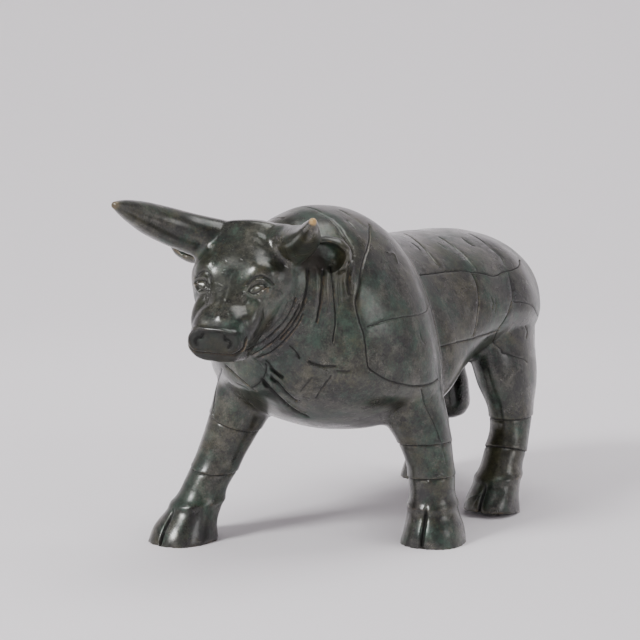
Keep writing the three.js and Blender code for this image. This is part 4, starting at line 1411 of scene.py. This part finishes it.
@dataclass(frozen=True)
class PatinatedBronze:
    """Green-black patina over bronze: brown and verdigris patches, tan on rubbed edges, and a tan
    painted highlight on the sides of carved lines that face the key lamp.
    """

    name: str = "green-black patinated bronze"
    ground: Colour = (0.165, 0.172, 0.138)
    deep: Colour = (0.065, 0.068, 0.058)
    verdigris: Colour = (0.125, 0.225, 0.175)
    olive: Colour = (0.225, 0.215, 0.14)
    ash: Colour = (0.31, 0.30, 0.265)
    tan: Colour = (0.48, 0.40, 0.29)
    gold: Colour = (0.72, 0.58, 0.34)
    groove: Colour = (0.045, 0.045, 0.04)
    ear: Colour = (0.13, 0.10, 0.075)
    metallic: float = 0.30
    gloss: float = 0.24
    matte: float = 0.60
    coat: float = 0.8
    coat_roughness: float = 0.20
    # The shade is multiplied by a mottle that runs from the first of these to their sum.
    darkest: float = 0.35
    spread: float = 1.30

    def made(self, patches: bpy.types.NodeTree) -> bpy.types.Material:
        """Build the material.

        Args:
            patches: the group that lays ragged patches.

        Returns:
            The material.
        """
        material = bpy.data.materials.new(self.name)
        material.use_nodes = True
        tree = material.node_tree
        tree.nodes.clear()
        bench = Bench(tree)
        place = bench.node("TexCoord").outputs["Object"]

        def patch(scale: float, cover: float, soft: float, broken: float, shift: float):
            """One layer of patches, moved away from the others."""
            moved = bench.node("VectorMath", {0: place, 1: (shift, shift, shift)}).outputs[0]
            made = bench.node("Group", node_tree=patches)
            for name, value in (("Scale", scale), ("Cover", cover), ("Softness", soft),
                                ("Break", broken)):
                made.inputs[name].default_value = value
            tree.links.new(moved, made.inputs["Vector"])
            return made.outputs["Mask"]

        black = patch(26, 0.48, 0.12, 0.55, 0.0)
        green = patch(28, 0.43, 0.12, 0.55, 1.3)
        brown = patch(24, 0.43, 0.10, 0.55, 2.7)
        grey = patch(38, 0.40, 0.08, 0.60, 4.1)
        colour = bench.mix(black, linear(self.ground), linear(self.deep))
        colour = bench.mix(bench.maths("MULTIPLY", green, 0.65), colour, linear(self.verdigris))
        colour = bench.mix(bench.maths("MULTIPLY", brown, 0.6), colour, linear(self.olive))
        colour = bench.mix(bench.maths("MULTIPLY", grey, 0.4), colour, linear(self.ash))
        cloud = bench.between(bench.noise(place, 110, 5.0, 0.65), 0.38, 0.62)
        fine = bench.between(bench.noise(place, 350, 4.0, 0.7), 0.38, 0.62)
        speck = bench.between(bench.noise(place, 900, 2.0, 0.6), 0.38, 0.62)
        mottle = bench.maths("ADD", bench.maths("MULTIPLY", cloud, 0.45),
                             bench.maths("MULTIPLY", fine, 0.35))
        mottle = bench.maths("ADD", mottle, bench.maths("MULTIPLY", speck, 0.20))
        shade = bench.maths("ADD", bench.maths("MULTIPLY", mottle, self.spread), self.darkest)
        colour = bench.node("VectorMath", {0: colour, "Scale": shade},
                            operation="SCALE").outputs[0]
        # Tan over the convex edges is rubbed wear. Tan over the sides of carved lines that face
        # the key lamp is a painted highlight.
        rub = bench.between(bench.noise(place, 160, 5.0, 0.7), 0.42, 0.62)
        edge = bench.maths("MULTIPLY", bench.between(bench.mask("edge"), 0.70, 1.0), 0.6)
        wear_and_highlight = bench.maths("MULTIPLY", bench.maths("MAXIMUM", edge, bench.mask("painted_highlight")), rub)
        colour = bench.mix(bench.maths("MULTIPLY", wear_and_highlight, 0.7), colour, linear(self.tan))
        tip = bench.mask("tip")
        colour = bench.mix(bench.maths("MULTIPLY", tip, 0.8), colour, linear(self.gold))
        cup = bench.mask("cup")
        colour = bench.mix(bench.maths("MULTIPLY", cup, 0.85), colour, linear(self.ear))
        groove = bench.mask("groove")
        colour = bench.mix(bench.maths("MULTIPLY", groove, 0.85), colour, linear(self.groove))
        nose = bench.mask("nose")
        colour = bench.mix(bench.maths("MULTIPLY", nose, 0.6), colour, linear(self.deep))
        smear = bench.noise(place, 60, 5.0, 0.6)
        rough = bench.node("MapRange", {"Value": smear, "To Min": self.gloss - 0.06,
                                        "To Max": self.gloss + 0.16}).outputs["Result"]
        dull = bench.maths("MAXIMUM", bench.maths("MULTIPLY", green, 0.35), groove)
        dull = bench.maths("MAXIMUM", dull, bench.maths("MAXIMUM", nose, cup))
        rough = bench.node("Mix", {0: dull, 2: rough, 3: self.matte}).outputs[0]
        hammer = bench.noise(place, 70, 3.0, 0.5)
        grain = bench.noise(place, 520, 4.0, 0.6)
        pits = bench.between(bench.noise(place, 230, 2.0, 0.5), 0.28, 0.40)
        relief = bench.maths("ADD", bench.maths("MULTIPLY", hammer, 0.7),
                             bench.maths("MULTIPLY", grain, 0.16))
        relief = bench.maths("ADD", relief, bench.maths("MULTIPLY", pits, 0.22))
        bump = bench.node("Bump", {"Strength": 0.35, "Distance": 0.0012, "Height": relief})
        wax = bench.maths("ADD", bench.maths("MULTIPLY", mottle, 0.6), 0.4)
        kept = bench.maths("SUBTRACT", 1.0, dull)
        wax = bench.maths("MULTIPLY", wax, bench.maths("MULTIPLY", kept, self.coat))
        shader = bench.node("BsdfPrincipled", {
            "Base Color": colour, "Roughness": rough, "Metallic": self.metallic,
            "Coat Weight": wax, "Coat Roughness": self.coat_roughness,
            "Normal": bump.outputs["Normal"]})
        out = bench.node("OutputMaterial")
        tree.links.new(shader.outputs[0], out.inputs["Surface"])
        return material


@dataclass(frozen=True)
class StudioPaper:
    """The pale, matte sweep that the bull stands on."""

    name: str = "pale studio paper"
    shade: Colour = (0.925, 0.91, 0.922)
    roughness: float = 0.9

    def made(self) -> bpy.types.Material:
        """Build the material: one pale colour with the faintest unevenness."""
        material = bpy.data.materials.new(self.name)
        material.use_nodes = True
        tree = material.node_tree
        tree.nodes.clear()
        bench = Bench(tree)
        place = bench.node("TexCoord").outputs["Object"]
        mottle = bench.noise(place, 2.0, 2.0)
        paler = tuple(min(1.0, c + 0.012) for c in self.shade)
        colour = bench.mix(mottle, linear(self.shade), linear(paler))
        shader = bench.node("BsdfPrincipled", {"Base Color": colour, "Roughness": self.roughness})
        out = bench.node("OutputMaterial")
        tree.links.new(shader.outputs[0], out.inputs["Surface"])
        return material


@dataclass(frozen=True)
class Lamp:
    """A soft square light, its place and aim in metres."""

    name: str
    place: tuple[float, float, float]
    size: float
    power: float
    aim: tuple[float, float, float] = (0.0, 0.0, 0.1)

    def hang(self) -> None:
        """Put the light in the scene, facing what it aims at."""
        data = bpy.data.lights.new(self.name, "AREA")
        data.shape = "SQUARE"
        data.size = self.size
        data.energy = self.power
        lamp = bpy.data.objects.new(self.name, data)
        lamp.location = self.place
        way = Vector(self.aim) - Vector(self.place)
        lamp.rotation_euler = way.to_track_quat("-Z", "Y").to_euler()
        bpy.context.scene.collection.objects.link(lamp)


@dataclass
class Studio:
    """The sweep, the lights and the camera."""

    radius: float = 3.0
    bend: float = 1.8
    height: float = 2.6
    sides: int = 96
    paper: StudioPaper = StudioPaper()
    sky: Colour = (0.87, 0.86, 0.87)
    sky_strength: float = 0.5
    view: Viewpoint = Viewpoint()
    lamps: tuple[Lamp, ...] = (
        Lamp("key", (-0.5, -1.7, 1.5), 0.6, 46.0),
        Lamp("top", (0.2, 0.3, 1.9), 1.2, 17.0),
        Lamp("side", (1.9, 0.1, 0.9), 0.8, 6.0),
        Lamp("wall", (-0.4, 0.6, 1.6), 1.0, 16.0, aim=(-1.7, 2.4, 0.5)),
    )

    def sweep(self) -> bpy.types.Object:
        """A round floor that turns up into a wall.

        The profile runs out along the floor, round a quarter circle and up, and is carried
        round the middle.
        """
        flat = np.linspace(0.02, self.radius - self.bend, 12)
        angle = np.linspace(0, math.pi / 2, 24)[1:]
        curve = self.radius - self.bend + self.bend * np.sin(angle)
        out = np.concatenate([flat, curve, [self.radius]])
        up = np.concatenate([flat * 0, self.bend * (1 - np.cos(angle)), [self.height]])
        turn = np.linspace(0, 2 * math.pi, self.sides, endpoint=False)[None, :]
        points = np.stack([out[:, None] * np.cos(turn), out[:, None] * np.sin(turn),
                           up[:, None] + turn * 0], axis=-1).reshape(-1, 3)
        ring = np.arange(len(out) - 1)[:, None] * self.sides
        j = np.arange(self.sides)[None, :]
        k = (j + 1) % self.sides
        quads = np.stack([ring + j, ring + j + self.sides, ring + k + self.sides, ring + k], -1)
        faces = quads.reshape(-1, 4).tolist() + [list(range(self.sides))]
        mesh = bpy.data.meshes.new("sweep")
        mesh.from_pydata(points.tolist(), [], faces)
        mesh.polygons.foreach_set("use_smooth", np.ones(len(mesh.polygons), bool))
        mesh.materials.append(self.paper.made())
        floor = bpy.data.objects.new("sweep", mesh)
        bpy.context.scene.collection.objects.link(floor)
        return floor

    def camera(self) -> None:
        """Stand the camera where the photograph was taken from."""
        data = bpy.data.cameras.new("camera")
        data.sensor_width = 36.0
        data.lens = data.sensor_width * self.view.focal / self.view.side
        camera = bpy.data.objects.new("camera", data)
        camera.location = self.view.place
        camera.rotation_euler = Vector(self.view.ahead()).to_track_quat("-Z", "Y").to_euler()
        bpy.context.scene.collection.objects.link(camera)
        bpy.context.scene.camera = camera

    def build(self) -> None:
        """Set the stage."""
        self.sweep()
        self.camera()
        for lamp in self.lamps:
            lamp.hang()
        world = bpy.data.worlds.new("studio")
        world.use_nodes = True
        ground = world.node_tree.nodes["Background"]
        ground.inputs["Color"].default_value = linear(self.sky)
        ground.inputs["Strength"].default_value = self.sky_strength
        bpy.context.scene.world = world


def main() -> None:
    """Set the studio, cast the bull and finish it."""
    Studio().build()
    log.info("studio set")
    bull = Bull().cast()
    bull.data.materials.append(PatinatedBronze().made(cloud_group()))
    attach(bull, "root")
    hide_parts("bull")
    log.info("bull finished")


if __name__ == "__main__":
    logging.basicConfig(level=logging.INFO, format="%(name)s: %(message)s")
    main()
